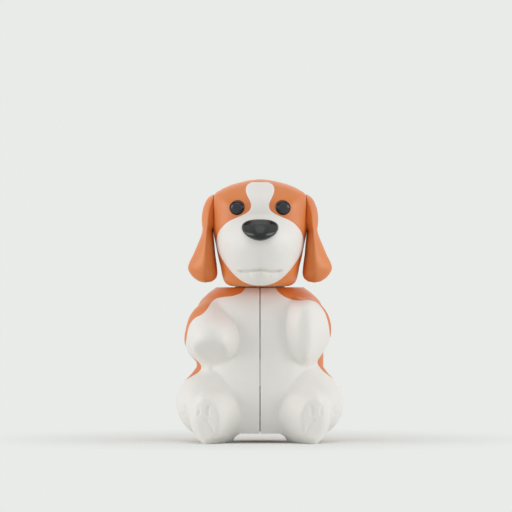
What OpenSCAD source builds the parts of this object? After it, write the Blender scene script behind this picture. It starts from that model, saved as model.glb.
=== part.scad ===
// Wall hung toothbrush cover in the shape of a sitting dog.
// The front of the body is a pair of doors on upright hinges at the back. A carriage that holds
// the neck of the brush turns both doors: the brush is pushed in to close and pulled out to open.
// Millimetres, +Z up, front of the dog towards -Y, origin at the centre of the suction cup's rim.

/* [Body] */
// Height of the body from the soles to the top of the doors
body_h = 52.9; // [48:0.1:58]
// Width of the torso where the doors meet the rear shell
torso_w = 43; // [42:0.2:46]
// Depth of the belly in front of the hinge line
belly_d = 23; // [20:0.5:28]
// Height of the flat body floor above the soles
floor_h = 3.5; // [3:0.1:4.2]
// Wall of every moulded shell
wall = 1.8; // [1.5:0.1:2.2]
// Gap along the split between the two doors
split_gap = 0.3; // [0.2:0.05:0.6]
// Radius of the rear shell's upright corners, about the hinge axes
corner_r = 6; // [5.8:0.1:6.6]
// Running gap between the rear shell's corners and the door edges that lap them
lap_gap = 0.3; // [0.2:0.05:0.5]

/* [Neck slot] */
// Width of the slot in the floor that the brush leaves through
port_w = 8.4; // [7.6:0.2:10]
// Length of that slot in front of the hinge line
port_l = 10.8; // [9.8:0.2:13]

/* [Hinges and drive] */
// Diameter of a hinge pin
pin_d = 2; // [1.6:0.1:2.4]
// Radial clearance of a pin in a knuckle
pin_fit = 0.05; // [0.03:0.01:0.1]
// Angle that each door opens through
open_angle = 45; // [30:1:48]
// Distance from a hinge axis to its crank pin
crank_r = 6; // [5.4:0.1:6.4]
// Side clearance of a crank pin in its fork
fork_fit = 0.15; // [0.1:0.01:0.25]
// Thickness of the crank arms and of the liner plates
plate_t = 2.2; // [1.8:0.1:2.6]

/* [Carriage] */
// Thickness of the carriage plate
slide_t = 2.4; // [2:0.1:3]
// Diameter of a guide rod
rod_d = 3; // [2.4:0.1:3.4]
// Length of the guide rods in front of the chassis plate
rod_l = 17; // [15:0.5:19]
// Bore of the soft clip that grips the brush's neck
neck_d = 6; // [5:0.1:6.6]
// Wall of the soft clip
grip_wall = 1.3; // [1:0.1:1.6]
// Height of the soft clip
grip_h = 8; // [6:0.5:9]
// Distance of the clip's axis in front of the hinge line
grip_y = 6.6; // [6:0.1:7.2]

/* [Head] */
// Height of the head
head_h = 36.4; // [32:0.2:42]
// Width of the head without the ears
head_w = 32.3; // [30:0.1:34]
// Depth of the head without the muzzle
head_d = 32; // [30:0.5:34]
// Gap between the door tops and the head
neck_gap = 0.4; // [0.3:0.05:1]
// Width of the neck post
post_w = 17; // [13:0.5:18]
// Thickness of the neck post
post_t = 2.4; // [2:0.1:2.8]

/* [Face] */
// Width of the muzzle
muzzle_w = 29.6; // [26:0.2:31]
// Height of the muzzle
muzzle_h = 26.8; // [24:0.2:28]
// How far the muzzle stands out from the head
muzzle_d = 6.5; // [4:0.25:9]
// Thickness of the white face piece at its edge
face_t = 0.6; // [0.4:0.05:1]
// Diameter of an eye
eye_d = 5.1; // [4.4:0.1:5.6]
// Distance between the eyes
eye_gap = 15.6; // [14.4:0.1:17]
// Width of the nose
nose_w = 12.4; // [10:0.2:14]
// Height of the nose
nose_h = 7.3; // [6:0.1:8.4]

/* [Ears] */
// Height of an ear from root to tip
ear_h = 29.4; // [28:0.1:30.4]
// Depth of an ear from front edge to back edge
ear_d = 17; // [13:0.5:19]
// Gap between an ear's root and the head
ear_gap = 0.15; // [0.1:0.05:0.3]

/* [Wall mount] */
// Diameter of the suction cup's rim
cup_d = 36; // [32:1:40]
// Distance from the wall to the back of the rear shell
standoff = 7.5; // [6.5:0.25:9]
// Height of the cup's centre above the soles
cup_z = 33; // [31:0.5:34]
// Diameter of the cup's stud
stud_d = 6; // [5:0.25:6.5]
// Diameter of the cup's button
button_d = 9.6; // [8.5:0.25:10.5]

/* [Screws] */
// Diameter of a screw's shank
screw_d = 1.9; // [1.6:0.1:2.1]
// Diameter of a screw's head
screw_head_d = 3.8; // [3.2:0.1:4]
// Height of a screw's head
screw_head_h = 1.2; // [1:0.1:1.3]

/* [Hidden] */
$fn = 64;
close = 0.05;
orange = "#d9793f";
white = "#f4f1ec";

// Places, measured from the wall plane, the middle of the body and the soles.
hinge_x = torso_w / 2 - wall - lap_gap - corner_r;
hinge_y = -standoff - corner_r;
back_y = -standoff;
inside_y = back_y - wall;
chassis_y = inside_y - close;
plate_front_y = chassis_y - wall;
unit = body_h / 52.9;
head_bottom = body_h + neck_gap;

// Levels of the hinge and the drive, from the floor up.
lug_t = 3;
lug_z = floor_h + wall + 0.5;
crank_z = lug_z + lug_t + 0.3;
slide_z = crank_z + plate_t + 0.3;
rod_z = slide_z + slide_t + rod_d / 2 + 1;
knuckle_h = slide_z - crank_z + slide_t - 0.6;
upper_knuckle_h = 4;
lug_top = body_h - 9.5;
upper_z = lug_top - lug_t - upper_knuckle_h - 0.3;
lug_r = 2.6;
knuckle_r = 2.1;
crank_pin_r = 1;
grip_r = neck_d / 2 + grip_wall;
grip_flange = 0.8;
eye_wall = 1.2;
eye_l = 8;
rod_x = grip_r + grip_flange + rod_d / 2 + eye_wall + 0.2;
crank_w = 2.8;
pin_boss = crank_w / 2 + 0.2;
boss_r = screw_d / 2 + 1.2;

// Smooth curve through a list of [position, value] pairs.
function span_of(p, t) = max([for (k = [0 : len(p) - 2]) t >= p[k][0] ? k : 0]);
function slope_at(p, k) = let (a = max(k - 1, 0), b = min(k + 1, len(p) - 1))
    (p[b][1] - p[a][1]) / (p[b][0] - p[a][0]);
function curve(p, t) = let (
    k = span_of(p, t), w = p[k + 1][0] - p[k][0], u = clamp((t - p[k][0]) / w, 0, 1),
    a = p[k][1], b = p[k + 1][1], ma = slope_at(p, k) * w, mb = slope_at(p, k + 1) * w)
    a + u * (ma + u * (3 * (b - a) - 2 * ma - mb + u * (2 * (a - b) + ma + mb)));
function clamp(v, low, high) = min(max(v, low), high);
function ease(low, high, v) = let (u = clamp((v - low) / (high - low), 0, 1)) u * u * (3 - 2 * u);
function mix(a, b, u) = a + (b - a) * u;

// Smooth union and smooth intersection of two distances, rounded over a width k.
function join_d(a, b, k) = let (h = max(k - abs(a - b), 0) / k) min(a, b) - h * h * k / 4;
function meet_d(a, b, k) = -join_d(-a, -b, k);

// A limb runs from a root to a tip. Each end has its place, its radius and its height as a share of
// its width. The limb joins the body over a blend width. Its tip can be cut flat by a plane that
// faces a given way, stands off the tip and meets the limb in an edge of a given width.
uncut = 99;
function limb(root, root_r, root_tall, tip, tip_r, tip_tall, blend, way = [0, -1, 0], off = uncut, edge = 1) =
    [unit * root, unit * tip, unit * [root_r, tip_r], [root_tall, tip_tall], unit * blend, way, off, edge];
function limb_d(p, b) = let (
    axis = b[1] - b[0], t = clamp((p - b[0]) * axis / (axis * axis), 0, 1), q = p - b[0] - t * axis,
    d = norm([q.x, q.y, q.z / mix(b[3][0], b[3][1], t)]) - mix(b[2][0], b[2][1], t))
    b[6] == uncut ? d : meet_d(d, (p - b[1]) * b[5] - unit * b[6], unit * b[7]);

// The limbs of one half of the body, both written for +X. The arms differ from side to side.
legs = [
    limb([17.4, -23, 13.4], 11.5, 1, [17.6, -26, 12.8], 10.6, 1.02, 5),
    limb([11.8, -26, 10], 8.6, 1.1, [18.5, -40.6, 8.7], 6.5, 1.32, 1.8, [0.12, -0.99, -0.02], 2.2, 1.3)];
right_arm = [
    limb([16.4, -23.5, 39.8], 7, 1.1, [16.5, -27, 38], 7, 1.2, 4),
    limb([16, -26, 38.8], 8, 1.2, [14.6, -36.2, 37.4], 3.9, 2.45, 1.8, [-0.05, -0.99, -0.05], 1.9, 1.4)];
left_arm = [
    limb([17.6, -23.5, 39.4], 7.1, 1.05, [18.5, -27, 35.4], 7.2, 1.1, 4),
    limb([16.5, -26, 38.6], 7.6, 1.1, [16, -35, 35], 7.4, 1.05, 2, [0.05, -0.66, -0.75], 4.3, 1.5)];

// Torso: half width and front depth against height, as shares of their largest values.
side_shape = [[0, 0.8], [0.05, 0.9], [0.09, 0.965], [0.125, 0.992], [0.17, 1], [0.83, 1],
    [0.87, 0.985], [0.91, 0.94], [0.955, 0.83], [0.985, 0.7], [1, 0.6]];
front_shape = [[0, 0.8], [0.066, 0.88], [0.16, 0.95], [0.32, 1], [0.5, 0.985], [0.7, 0.93],
    [0.85, 0.86], [0.95, 0.74], [1, 0.62]];
torso_power = 2.3;
function torso_side(z) = torso_w / 2 * curve(side_shape, z / body_h);
function torso_front(z) = belly_d * curve(front_shape, z / body_h);
function torso_r(a, z, inset = 0) = let (
    u = cos(a) / (torso_side(z) - inset), v = -sin(a) / (torso_front(z) - inset))
    pow(pow(max(u, 0), torso_power) + pow(max(v, 0), torso_power), -1 / torso_power);

// Outer radius of the body from the upright line where the split meets the hinge plane.
// Azimuth a runs from -90 at the split to 0 at the seam. The limbs fade out before the seam.
function place(r, a, z) = [split_gap / 2 + r * cos(a), hinge_y + r * sin(a), z];
function body_d(p, d, limbs, i = 0) = i == len(limbs) ? d
    : body_d(p, join_d(d, limb_d(p, limbs[i]), limbs[i][4]), limbs, i + 1);
function body_at(r, a, z, rt, limbs) = body_d(place(r, a, z), 0.9 * (r - rt), limbs);
function narrow(lo, hi, a, z, rt, limbs, n) = n == 0 ? (lo + hi) / 2
    : let (mid = (lo + hi) / 2)
        body_at(mid, a, z, rt, limbs) < 0 ? narrow(mid, hi, a, z, rt, limbs, n - 1)
        : narrow(lo, mid, a, z, rt, limbs, n - 1);
function search(r, a, z, rt, limbs) = r <= rt ? rt
    : body_at(r, a, z, rt, limbs) < 0 ? narrow(r, r + 1.2, a, z, rt, limbs, 5)
    : search(r - 1.2, a, z, rt, limbs);
function under_r(a) = max(under_w * unit / max(cos(a), 0.01), port_r(a) + 1);
function base_r(a, z) = let (rt = torso_r(a, z), foot = ease(floor_h, foot_z + 0.4, z))
    mix(rt, min(rt, under_r(a) + under_slope * unit), foot);
function body_r(a, z, limbs) = let (rt = base_r(a, z))
    min(search(rt + limb_reach, a, z, rt, limbs), torso_r(a, z) * (1 + 1.5 * -sin(a)));

// Triangles between two rows of points with any counts, and the faces of a grid.
function zip(a, b, i = 0, j = 0) = let (n = len(a) - 1, m = len(b) - 1)
    i == n && j == m ? []
    : (j == m || (i < n && (i + 1) * m <= (j + 1) * n))
        ? concat([[a[i], a[i + 1], b[j]]], zip(a, b, i + 1, j))
        : concat([[a[i], b[j + 1], b[j]]], zip(a, b, i, j + 1));
function flip(faces) = [for (f = faces) [f[2], f[1], f[0]]];
function quads(n, m, base, wrap) = [for (i = [0 : n - (wrap ? 1 : 2)], j = [0 : m - 2])
    let (a = base + i * m + j, b = base + (i + 1) % n * m + j)
    each [[a, a + 1, b + 1], [a, b + 1, b]]];
function row(n, m, base, j, wrap) = [for (i = [0 : n - (wrap ? 0 : 1)]) base + i % n * m + j];
function column(m, base, i) = [for (j = [0 : m - 1]) base + i * m + j];
function fan(line, pole) = [for (k = [0 : len(line) - 2]) [line[k], pole, line[k + 1]]];

// A wall between an outer grid p and an inner grid q, whose columns run upwards.
// It closes round itself when wrap is set, and over the top when poles holds two points.
module skin(p, q, wrap = false, poles = []) {
    n = len(p);
    m = len(p[0]);
    nq = len(q);
    mq = len(q[0]);
    b = n * m;
    t = b + nq * mq;
    polyhedron(concat([for (c = p) each c], [for (c = q) each c], poles), concat(
        quads(n, m, 0, wrap), flip(quads(nq, mq, b, wrap)),
        zip(row(n, m, 0, 0, wrap), row(nq, mq, b, 0, wrap)),
        poles == [] ? flip(zip(row(n, m, 0, m - 1, wrap), row(nq, mq, b, mq - 1, wrap)))
            : concat(fan(row(n, m, 0, m - 1, wrap), t), flip(fan(row(nq, mq, b, mq - 1, wrap), t + 1))),
        wrap ? [] : concat(flip(zip(column(m, 0, 0), column(mq, b, 0))),
            zip(column(m, 0, n - 1), column(mq, b, nq - 1)))), convexity = 10);
}

// A solid lofted through rings, whose columns run upwards, with a point at each end.
module loft(p, low, high) {
    n = len(p);
    m = len(p[0]);
    polyhedron(concat([for (c = p) each c], [low, high]), concat(quads(n, m, 0, true),
        flip(fan(row(n, m, 0, 0, true), n * m)), fan(row(n, m, 0, m - 1, true), n * m + 1)),
        convexity = 6);
}

// Lowers what is measured from the soles so that the suction cup's centre is at the origin.
module seated() {
    translate([0, 0, -cup_z]) children();
}

// Mirrors a right hand piece when the side is -1.
module on_side(side) {
    if (side > 0) children();
    else mirror([1, 0, 0]) children();
}

// A cylinder along +Y from a point.
module along_y(at, r, l) {
    translate(at) rotate([-90, 0, 0]) cylinder(r = r, h = l);
}

// Doors: half shells with the limbs in relief outside and a smooth torso wall inside.
door_columns = 36;
door_rows = 40;
liner_columns = 12;
liner_rows = 14;
foot_z = 0.3;
notch_r = 1.6;
under_w = 10.5;
under_slope = 2.4;
limb_reach = 15.6;
function port_r(a) = let (u = cos(a) / (port_w / 2 - split_gap / 2), v = -sin(a) / port_l)
    pow(pow(max(u, 0), 6) + pow(max(v, 0), 6), -1 / 6);
function door_low(a) = mix(floor_h, foot_z, ease(-71, -57, a) * (1 - ease(-48, -24, a)));
function door_a(i) = -90 + 90 * i / door_columns;
function door_z(a, j) = mix(door_low(a), body_h, j / door_rows);
function radii(limbs) = [for (i = [0 : door_columns]) [for (j = [0 : door_rows])
    body_r(door_a(i), door_z(door_a(i), j), limbs)]];
function soften(g) = [for (i = [0 : len(g) - 1]) [for (j = [0 : len(g[0]) - 1])
    let (l = max(i - 1, 0), r = min(i + 1, len(g) - 1), d = max(j - 1, 0), u = min(j + 1, len(g[0]) - 1))
    i == len(g) - 1 ? g[i][j] : (4 * g[i][j] + 2 * (g[l][j] + g[r][j] + g[i][d] + g[i][u])
        + g[l][d] + g[l][u] + g[r][d] + g[r][u]) / 16]];
function outer_column(i, g) = let (a = door_a(i), low = door_low(a), rp = port_r(a))
    let (rs = max(min(under_r(a), g[0] - 4 * unit), rp + 0.8))
    concat([place(rp, a, floor_h), place(rs, a, floor_h), place(rs + under_slope * unit, a, low)],
        [for (j = [0 : door_rows]) place(g[j], a, door_z(a, j))],
        [place(notch_r, a, body_h)]);
function inner_column(a) = let (low = floor_h + wall, high = body_h - wall) concat(
    [place(port_r(a), a, low)],
    [for (j = [0 : liner_rows]) let (z = mix(low, high, j / liner_rows)) place(torso_r(a, z, wall), a, z)],
    [place(notch_r, a, high)]);

module door_shell(side, arm) {
    g = soften(soften(radii(concat(legs, arm))));
    color(white) seated() on_side(side) difference() {
        skin([for (i = [0 : door_columns]) outer_column(i, g[i])],
            [for (i = [0 : liner_columns]) inner_column(-90 + 90 * i / liner_columns)]);
        turret(lap_gap);
    }
}

module left_door_shell() {
    door_shell(-1, left_arm);
}

module right_door_shell() {
    door_shell(1, right_arm);
}

// Radius of the rear shell's corner, and with it the depth of its back, against height.
function rear_r(z, inset) = max(torso_side(z) - hinge_x - wall - lap_gap - inset, inset > 0 ? 0.3 : 1.2);
rear_shares = [0, 0.03, 0.06, 0.1, 0.15, 0.45, 0.8, 0.84, 0.88, 0.91, 0.94, 0.965, 0.983, 1];
function rear_line(low, high, inset) = [for (u = rear_shares) let (z = mix(low, high, u)) [rear_r(z, inset), z]];

// The rear tray: corners turned about the hinge axes and a straight back between them.
module tray(low, high, inset, front) {
    line = rear_line(low, high, inset);
    for (side = [-1, 1]) on_side(side) translate([hinge_x, hinge_y, 0])
        rotate_extrude(angle = 90) polygon(concat([[0, high], [0, low]], line));
    translate([-hinge_x, hinge_y, 0]) rotate([90, 0, 90])
        linear_extrude(2 * hinge_x) polygon(concat([[front, high], [front, low]], line));
}

// The round ends of the floor and the roof about a hinge axis, or the room they need in a door.
module turret(gap) {
    intersection() {
        translate([hinge_x, hinge_y, 0]) rotate_extrude() polygon(concat([[0, body_h], [0, floor_h]],
            [for (p = rear_line(floor_h, body_h, 0)) [p.x + gap, p.y]]));
        for (low = [floor_h, body_h - wall]) translate([0, hinge_y - 10, low]) cube([40, 20, wall]);
    }
}

cowl_w = post_w + 2 * wall + 1.6;
cowl_edge = 0.8;
cowl_y = hinge_y + 0.3 + post_t + 0.3 + wall;
cowl_low = lug_top - 1;
module cowl(inset) {
    high = body_h - inset;
    w = cowl_w / 2 - inset;
    y = cowl_y - inset;
    translate([0, 0, cowl_low + inset]) linear_extrude(high - cowl_low - inset)
        polygon([[-w, hinge_y + lap_gap], [w, hinge_y + lap_gap], [w, y - cowl_edge], [w - cowl_edge, y],
            [cowl_edge - w, y], [-w, y - cowl_edge]]);
}

screw_x = button_d / 2 + screw_head_d / 2 + 1.4;
screw_rise = 7.5;
screw_places = [for (x = [-screw_x, screw_x], z = [rod_z + screw_rise, lug_top - lug_t]) [x, z]];
key_drop = button_d - 0.6;

module rear_shell() {
    color(orange) seated() difference() {
        union() {
            tray(floor_h, body_h, 0, lap_gap);
            for (side = [-1, 1]) on_side(side) turret(0);
            cowl(0);
        }
        tray(floor_h + wall, body_h - wall, wall, -1);
        intersection() {
            cowl(wall);
            translate([-30, hinge_y - 1, 0]) cube([60, 30, body_h - wall]);
        }
        translate([-post_w / 2 - 0.2, hinge_y - 1, body_h - wall - 1])
            cube([post_w + 0.4, post_t + 1.6, wall + 2]);
        along_y([0, inside_y - 1, cup_z], stud_d / 2 + 0.2, wall + 2);
        along_y([0, inside_y - 1, cup_z - key_drop], button_d / 2 + 0.3, wall + 2);
        translate([-stud_d / 2 - 0.2, inside_y - 1, cup_z - key_drop]) cube([stud_d + 0.4, wall + 2, key_drop]);
        for (s = screw_places) {
            along_y([s[0], back_y - screw_head_h, s[1]], screw_head_d / 2 + 0.1, 5);
            along_y([s[0], inside_y - 1, s[1]], screw_d / 2 + 0.1, 5);
        }
    }
}

plate_w = 2 * (hinge_x - 0.8);
module lug(z) {
    difference() {
        union() {
            translate([hinge_x, hinge_y, z]) cylinder(r = lug_r, h = lug_t);
            translate([hinge_x - lug_r, hinge_y, z]) cube([lug_r, -hinge_y + plate_front_y + 0.2, lug_t]);
            translate([hinge_x - lug_r - 2, plate_front_y, z]) cube([lug_r + 2, wall, lug_t]);
        }
        translate([hinge_x, hinge_y, z - 1]) cylinder(d = pin_d + 0.04, h = lug_t + 2);
    }
}

module chassis() {
    low = lug_z;
    color(white) seated() difference() {
        union() {
            translate([-plate_w / 2, plate_front_y, low + 1.2]) cube([plate_w, wall, lug_top - low - 1.2]);
            for (side = [-1, 1]) on_side(side) {
                lug(low);
                lug(lug_top - lug_t);
                along_y([rod_x, plate_front_y - rod_l, rod_z], rod_d / 2, rod_l + 0.5);
            }
            translate([-post_w / 2, hinge_y + 0.3, lug_top - 6]) cube([post_w, post_t, head_bottom + 12 - lug_top + 6]);
            for (s = screw_places) along_y([s[0], plate_front_y - 2.6, s[1]], boss_r, 3);
        }
        translate([-hinge_x + knuckle_r + 0.8, plate_front_y - 1, crank_z - 0.3])
            cube([2 * (hinge_x - knuckle_r - 0.8), wall + 2, slide_z + slide_t - crank_z + 0.7]);
        along_y([0, plate_front_y - 1, cup_z], button_d / 2 + 0.5, 5);
        along_y([0, plate_front_y - 1, cup_z - key_drop], button_d / 2 + 0.5, 5);
        translate([-button_d / 2 - 0.5, plate_front_y - 1, cup_z - key_drop]) cube([button_d + 1, 5, key_drop]);
        for (s = screw_places) along_y([s[0], plate_front_y - 5, s[1]], screw_d / 2, 9);
        for (x = head_screw_x) along_y([x, hinge_y - 1, head_screw_z], screw_d / 2 + 0.1, 9);
        translate([-hinge_x - 1, chassis_y - 0.5, low - 1]) cube([2 * hinge_x + 2, 5, crank_z - low + 1]);
    }
}

module screw(at, l) {
    along_y([at[0], at[1] - l, at[2]], screw_d / 2 - 0.03, l);
    difference() {
        along_y(at, screw_head_d / 2, screw_head_h);
        for (t = [0, 90]) translate([at[0], at[1] + screw_head_h, at[2]]) rotate([0, t, 0])
            cube([screw_head_d * 0.6, screw_head_h, 0.5], center = true);
    }
}

module chassis_screws() {
    color("silver") seated() for (s = screw_places) screw([s[0], back_y - screw_head_h + 0.02, s[1]], 4);
}

module hinge_pin(side) {
    color("silver") seated() on_side(side) translate([hinge_x, hinge_y, lug_z])
        cylinder(d = pin_d, h = lug_top - lug_z);
}

module left_hinge_pin() {
    hinge_pin(-1);
}

module right_hinge_pin() {
    hinge_pin(1);
}

// Door liners: two plates fitted to the inside of the door, joined by a rib beside the hinge.
seat_gap = 0.2;
crank_lead = open_angle / 3;
function liner_r(a, low, high) = min(torso_r(a, low, wall), torso_r(a, high, wall)) - seat_gap;
module liner_plate(z) {
    steps = 10;
    arc = [for (k = [0 : steps]) mix(-68, -20, k / steps)];
    outer = [for (a = arc) place(liner_r(a, z, z + plate_t), a, 0)];
    inner = [for (k = [steps : -1 : 0]) place(liner_r(arc[k], z, z + plate_t) - 3, arc[k], 0)];
    spoke_l = torso_front(z) * 0.62;
    translate([0, 0, z]) {
        linear_extrude(plate_t) polygon([for (p = concat(outer, inner)) [p.x, p.y]]);
        translate([hinge_x - 1.9, hinge_y - spoke_l, 0]) cube([3.8, spoke_l, plate_t]);
    }
}

module door_liner(side) {
    pin_y = crank_r * sin(crank_lead);
    pin_x = -crank_r * cos(crank_lead);
    color(white) seated() on_side(side) difference() {
        union() {
            liner_plate(crank_z);
            liner_plate(upper_z + upper_knuckle_h - plate_t);
            translate([hinge_x, hinge_y, crank_z]) cylinder(r = knuckle_r, h = knuckle_h);
            translate([hinge_x, hinge_y, upper_z]) cylinder(r = knuckle_r, h = upper_knuckle_h);
            translate([hinge_x - 1.1, hinge_y - 7.4, crank_z]) cube([2.2, 4, upper_z + upper_knuckle_h - crank_z]);
            translate([hinge_x, hinge_y, crank_z]) rotate([0, 0, 180 - crank_lead])
                translate([0, -crank_w / 2, 0]) cube([crank_r, crank_w, plate_t]);
            translate([hinge_x + pin_x, hinge_y + pin_y, crank_z]) {
                cylinder(r = pin_boss, h = plate_t);
                cylinder(r = crank_pin_r, h = slide_z - crank_z + slide_t + 0.2);
            }
        }
        translate([hinge_x, hinge_y, crank_z - 1]) cylinder(r = pin_d / 2 + pin_fit, h = lug_top);
    }
}

module left_door_liner() {
    door_liner(-1);
}

module right_door_liner() {
    door_liner(1);
}

// Carriage: a plate with a fork for each crank pin, two eyes on the guide rods and a clip seat.
module brush_carriage() {
    pin_y = hinge_y + crank_r * sin(crank_lead);
    slot = crank_pin_r + fork_fit;
    back = inside_y - 0.3;
    wide = hinge_x - knuckle_r - 0.9;
    clip_y = hinge_y - grip_y;
    lobe = grip_r + 2.6;
    eye_y = pin_y - slot - 0.3;
    arm = rod_x + rod_d / 2;
    color(white) seated() difference() {
        union() {
            translate([-wide, pin_y - slot - 1.6, slide_z]) cube([2 * wide, back - pin_y + slot + 1.6, slide_t]);
            translate([-lobe, clip_y, slide_z]) cube([2 * lobe, pin_y - clip_y, slide_t]);
            translate([-arm, eye_y - eye_l, slide_z]) cube([2 * arm, eye_l - 0.2, slide_t]);
            translate([0, clip_y, slide_z]) cylinder(r = lobe, h = slide_t);
            for (side = [-1, 1]) {
                along_y([side * rod_x, eye_y - eye_l, rod_z], rod_d / 2 + eye_wall, eye_l);
                translate([side * rod_x - 1.4, eye_y - eye_l, slide_z]) cube([2.8, eye_l, rod_z - slide_z]);
            }
        }
        for (side = [-1, 1]) {
            along_y([side * rod_x, clip_y - 20, rod_z], rod_d / 2 + 0.06, 40);
            on_side(side) translate([hinge_x - crank_r - slot, pin_y - slot, slide_z - 1])
                cube([9, 2 * slot, slide_t + 2]);
        }
        translate([0, clip_y, slide_z - 1]) cylinder(r = grip_r + close, h = slide_t + 2);
        translate([-grip_r * 0.8, clip_y - 20, slide_z - 1]) cube([grip_r * 1.6, 20, slide_t + 2]);
    }
}

module neck_grip() {
    color("gainsboro") seated() translate([0, hinge_y - grip_y, slide_z + slide_t / 2]) difference() {
        union() {
            translate([0, 0, -grip_h / 2]) cylinder(r = grip_r, h = grip_h);
            for (s = [-1, 1]) translate([0, 0, s * (slide_t / 2 + 0.55) - 0.5]) cylinder(r = grip_r + grip_flange, h = 1);
        }
        translate([0, 0, -grip_h]) cylinder(d = neck_d, h = 2 * grip_h);
        translate([-neck_d * 0.4, -20, -grip_h]) cube([neck_d * 0.8, 20, 2 * grip_h]);
    }
}

// Head: a rounded outline in the front view, given as the share of an ellipse that it reaches at an
// angle above the level of the head's middle, and domed to the front and the back. It is cut flat
// where it meets the doors.
head_power = 2.5;
back_power = 4;
head_outline = [[-90, 1.9], [-58.2, 1.43], [-45.8, 1.2], [-24.7, 1.022], [0, 1], [14.3, 1.033],
    [28, 1.125], [36, 1.17], [42.4, 1.137], [50.2, 1.094], [65.8, 1.026], [90, 1]];
jaw_round = 2.4;
head_up = head_h * 0.431;
head_z = head_bottom + head_h - head_up;
head_y = hinge_y - 10;
head_screw_x = [-5.6, 5.6];
head_screw_z = head_bottom + 7;
function head_across(x, z) = let (u = abs(x) / (head_w / 2), v = z / head_up)
    norm([u, v]) / curve(head_outline, atan2(v, u));
function head_r(d, inset) = let (
    m = d.y > 0 ? back_power : head_power,
    r = pow(pow(head_across(d.x, d.z), m) + pow(abs(d.y) / (head_d / 2), m), -1 / m) - inset)
    d.z < 0 ? join_d(r, (head_z - head_bottom - inset) / -d.z, jaw_round) : r;
function head_point(a, e, face, inset) = let (d = [cos(e) * cos(a), -face * sin(e), face * cos(e) * sin(a)])
    [0, head_y, head_z] + head_r(d, inset) * d;
function head_grid(n, m, face, inset) = [for (i = [0 : n - 1]) [for (j = [0 : m - 1])
    head_point(360 * i / n, 90 * j / m, face, inset)]];
function head_tip(face, inset) = [0, head_y - face * (head_d / 2 - inset), head_z];
function head_front_y(x, z) = head_y - head_d / 2
    * pow(max(1 - pow(head_across(x, z - head_z), head_power), 0), 1 / head_power);

// Half width of the head at a depth and a height.
function half_search(low, high, z, most, n) = n == 0 ? low : let (mid = (low + high) / 2)
    head_across(mid, z) < most ? half_search(mid, high, z, most, n - 1) : half_search(low, mid, z, most, n - 1);
function head_half(y, z) = let (
    m = y > head_y ? back_power : head_power, depth = min(abs(y - head_y) / (head_d / 2), 1))
    half_search(0, 0.6 * head_w, z - head_z, pow(max(1 - pow(depth, m), 0), 1 / m), 11);

module head_shell(face) {
    skin(head_grid(36, 13, face, 0), head_grid(24, 7, face, wall), true,
        [head_tip(face, 0), head_tip(face, wall)]);
}

eye_z = head_bottom + 26.55 * head_h / 36.4;
eye_tilt = 14;
socket_l = 9;
module at_eye(side) {
    translate([side * eye_gap / 2, head_front_y(eye_gap / 2, eye_z), eye_z])
        rotate([-90 - 10, 0, side * eye_tilt]) children();
}

module head_front() {
    color(orange) seated() difference() {
        union() {
            head_shell(1);
            for (x = head_screw_x) let (reach = head_front_y(x, head_screw_z) + wall / 2)
                along_y([x, reach, head_screw_z], boss_r, hinge_y + 0.25 - reach);
        }
        for (side = [-1, 1]) at_eye(side) translate([0, 0, -socket_l / 3])
            cylinder(r = eye_d / 2 + close, h = socket_l);
        for (x = head_screw_x) along_y([x, hinge_y - 8, head_screw_z], screw_d / 2, 9);
        translate([-post_w / 2 - 0.2, hinge_y, head_bottom - 1]) cube([post_w + 0.4, 20, 4]);
    }
}

module head_back() {
    rear = hinge_y + 0.3 + post_t + close;
    color(orange) seated() difference() {
        union() {
            head_shell(-1);
            for (x = head_screw_x) along_y([x, rear, head_screw_z], boss_r, screw_head_h + 0.6);
        }
        translate([-post_w / 2 - 0.2, hinge_y, head_bottom - 1]) cube([post_w + 0.4, post_t + 0.4, 11]);
        for (x = head_screw_x) {
            along_y([x, rear - 1, head_screw_z], screw_d / 2 + 0.1, 9);
            along_y([x, rear + 0.8, head_screw_z], screw_head_d / 2 + 0.1, 9);
        }
    }
}

module head_screws() {
    rear = hinge_y + 0.3 + post_t + close;
    color("silver") seated() for (x = head_screw_x) screw([x, rear + 0.82, head_screw_z], 9);
}

// Face: a white piece with the muzzle and the blaze, laid on the front of the head.
muzzle_z = head_bottom + 13.8 * head_h / 36.4;
muzzle_low = muzzle_z - muzzle_h * 0.505;
muzzle_up = muzzle_h * 0.405;
muzzle_turn = 6;
face_top = [[0.379, 0.4582], [0.431, 0.4555], [0.4725, 0.4487], [0.511, 0.4365], [0.5467, 0.41],
    [0.5742, 0.379], [0.6016, 0.336], [0.6346, 0.275], [0.655, 0.226], [0.673, 0.179], [0.695, 0.139],
    [0.72, 0.114], [0.745, 0.102], [0.767, 0.099], [0.795, 0.109], [0.822, 0.122], [0.85, 0.138],
    [0.877, 0.149], [0.91, 0.151], [0.937, 0.143], [0.957, 0.118], [0.966, 0.09]];
function upper(z) = ease(-muzzle_turn, muzzle_turn, z - muzzle_z);
chin_power = 1.85;
function muzzle_power(z) = mix(chin_power, 2.4, upper(z));
function muzzle_rise(z) = abs(z - muzzle_z) / mix(muzzle_z - muzzle_low, muzzle_up, upper(z));
function muzzle_q(x, z) = let (m = muzzle_power(z)) pow(abs(x) / (muzzle_w / 2), m) + pow(muzzle_rise(z), m);
function face_half(z) = z > muzzle_z ? head_w * curve(face_top, (z - head_bottom) / head_h)
    : muzzle_w / 2 * pow(1 - pow(min(muzzle_rise(z), 1), chin_power), 1 / chin_power);
function face_y(x, z) = let (lift = ease(0.1, 0.85, (z - muzzle_z) / muzzle_up))
    head_front_y(x, z) - face_seat - face_t - muzzle_d * pow(max(1 - muzzle_q(x, z), 0), mix(0.72, 1.7, lift));
face_seat = 0.25;
face_columns = 16;
face_rows = 27;
face_low = muzzle_low + 0.35;
face_high = head_bottom + 0.966 * head_h;
function face_rise(j) = let (u = j / face_rows)
    mix(face_low, face_high, mix(u, (1 - cos(180 * u)) / 2, 0.65));
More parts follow.
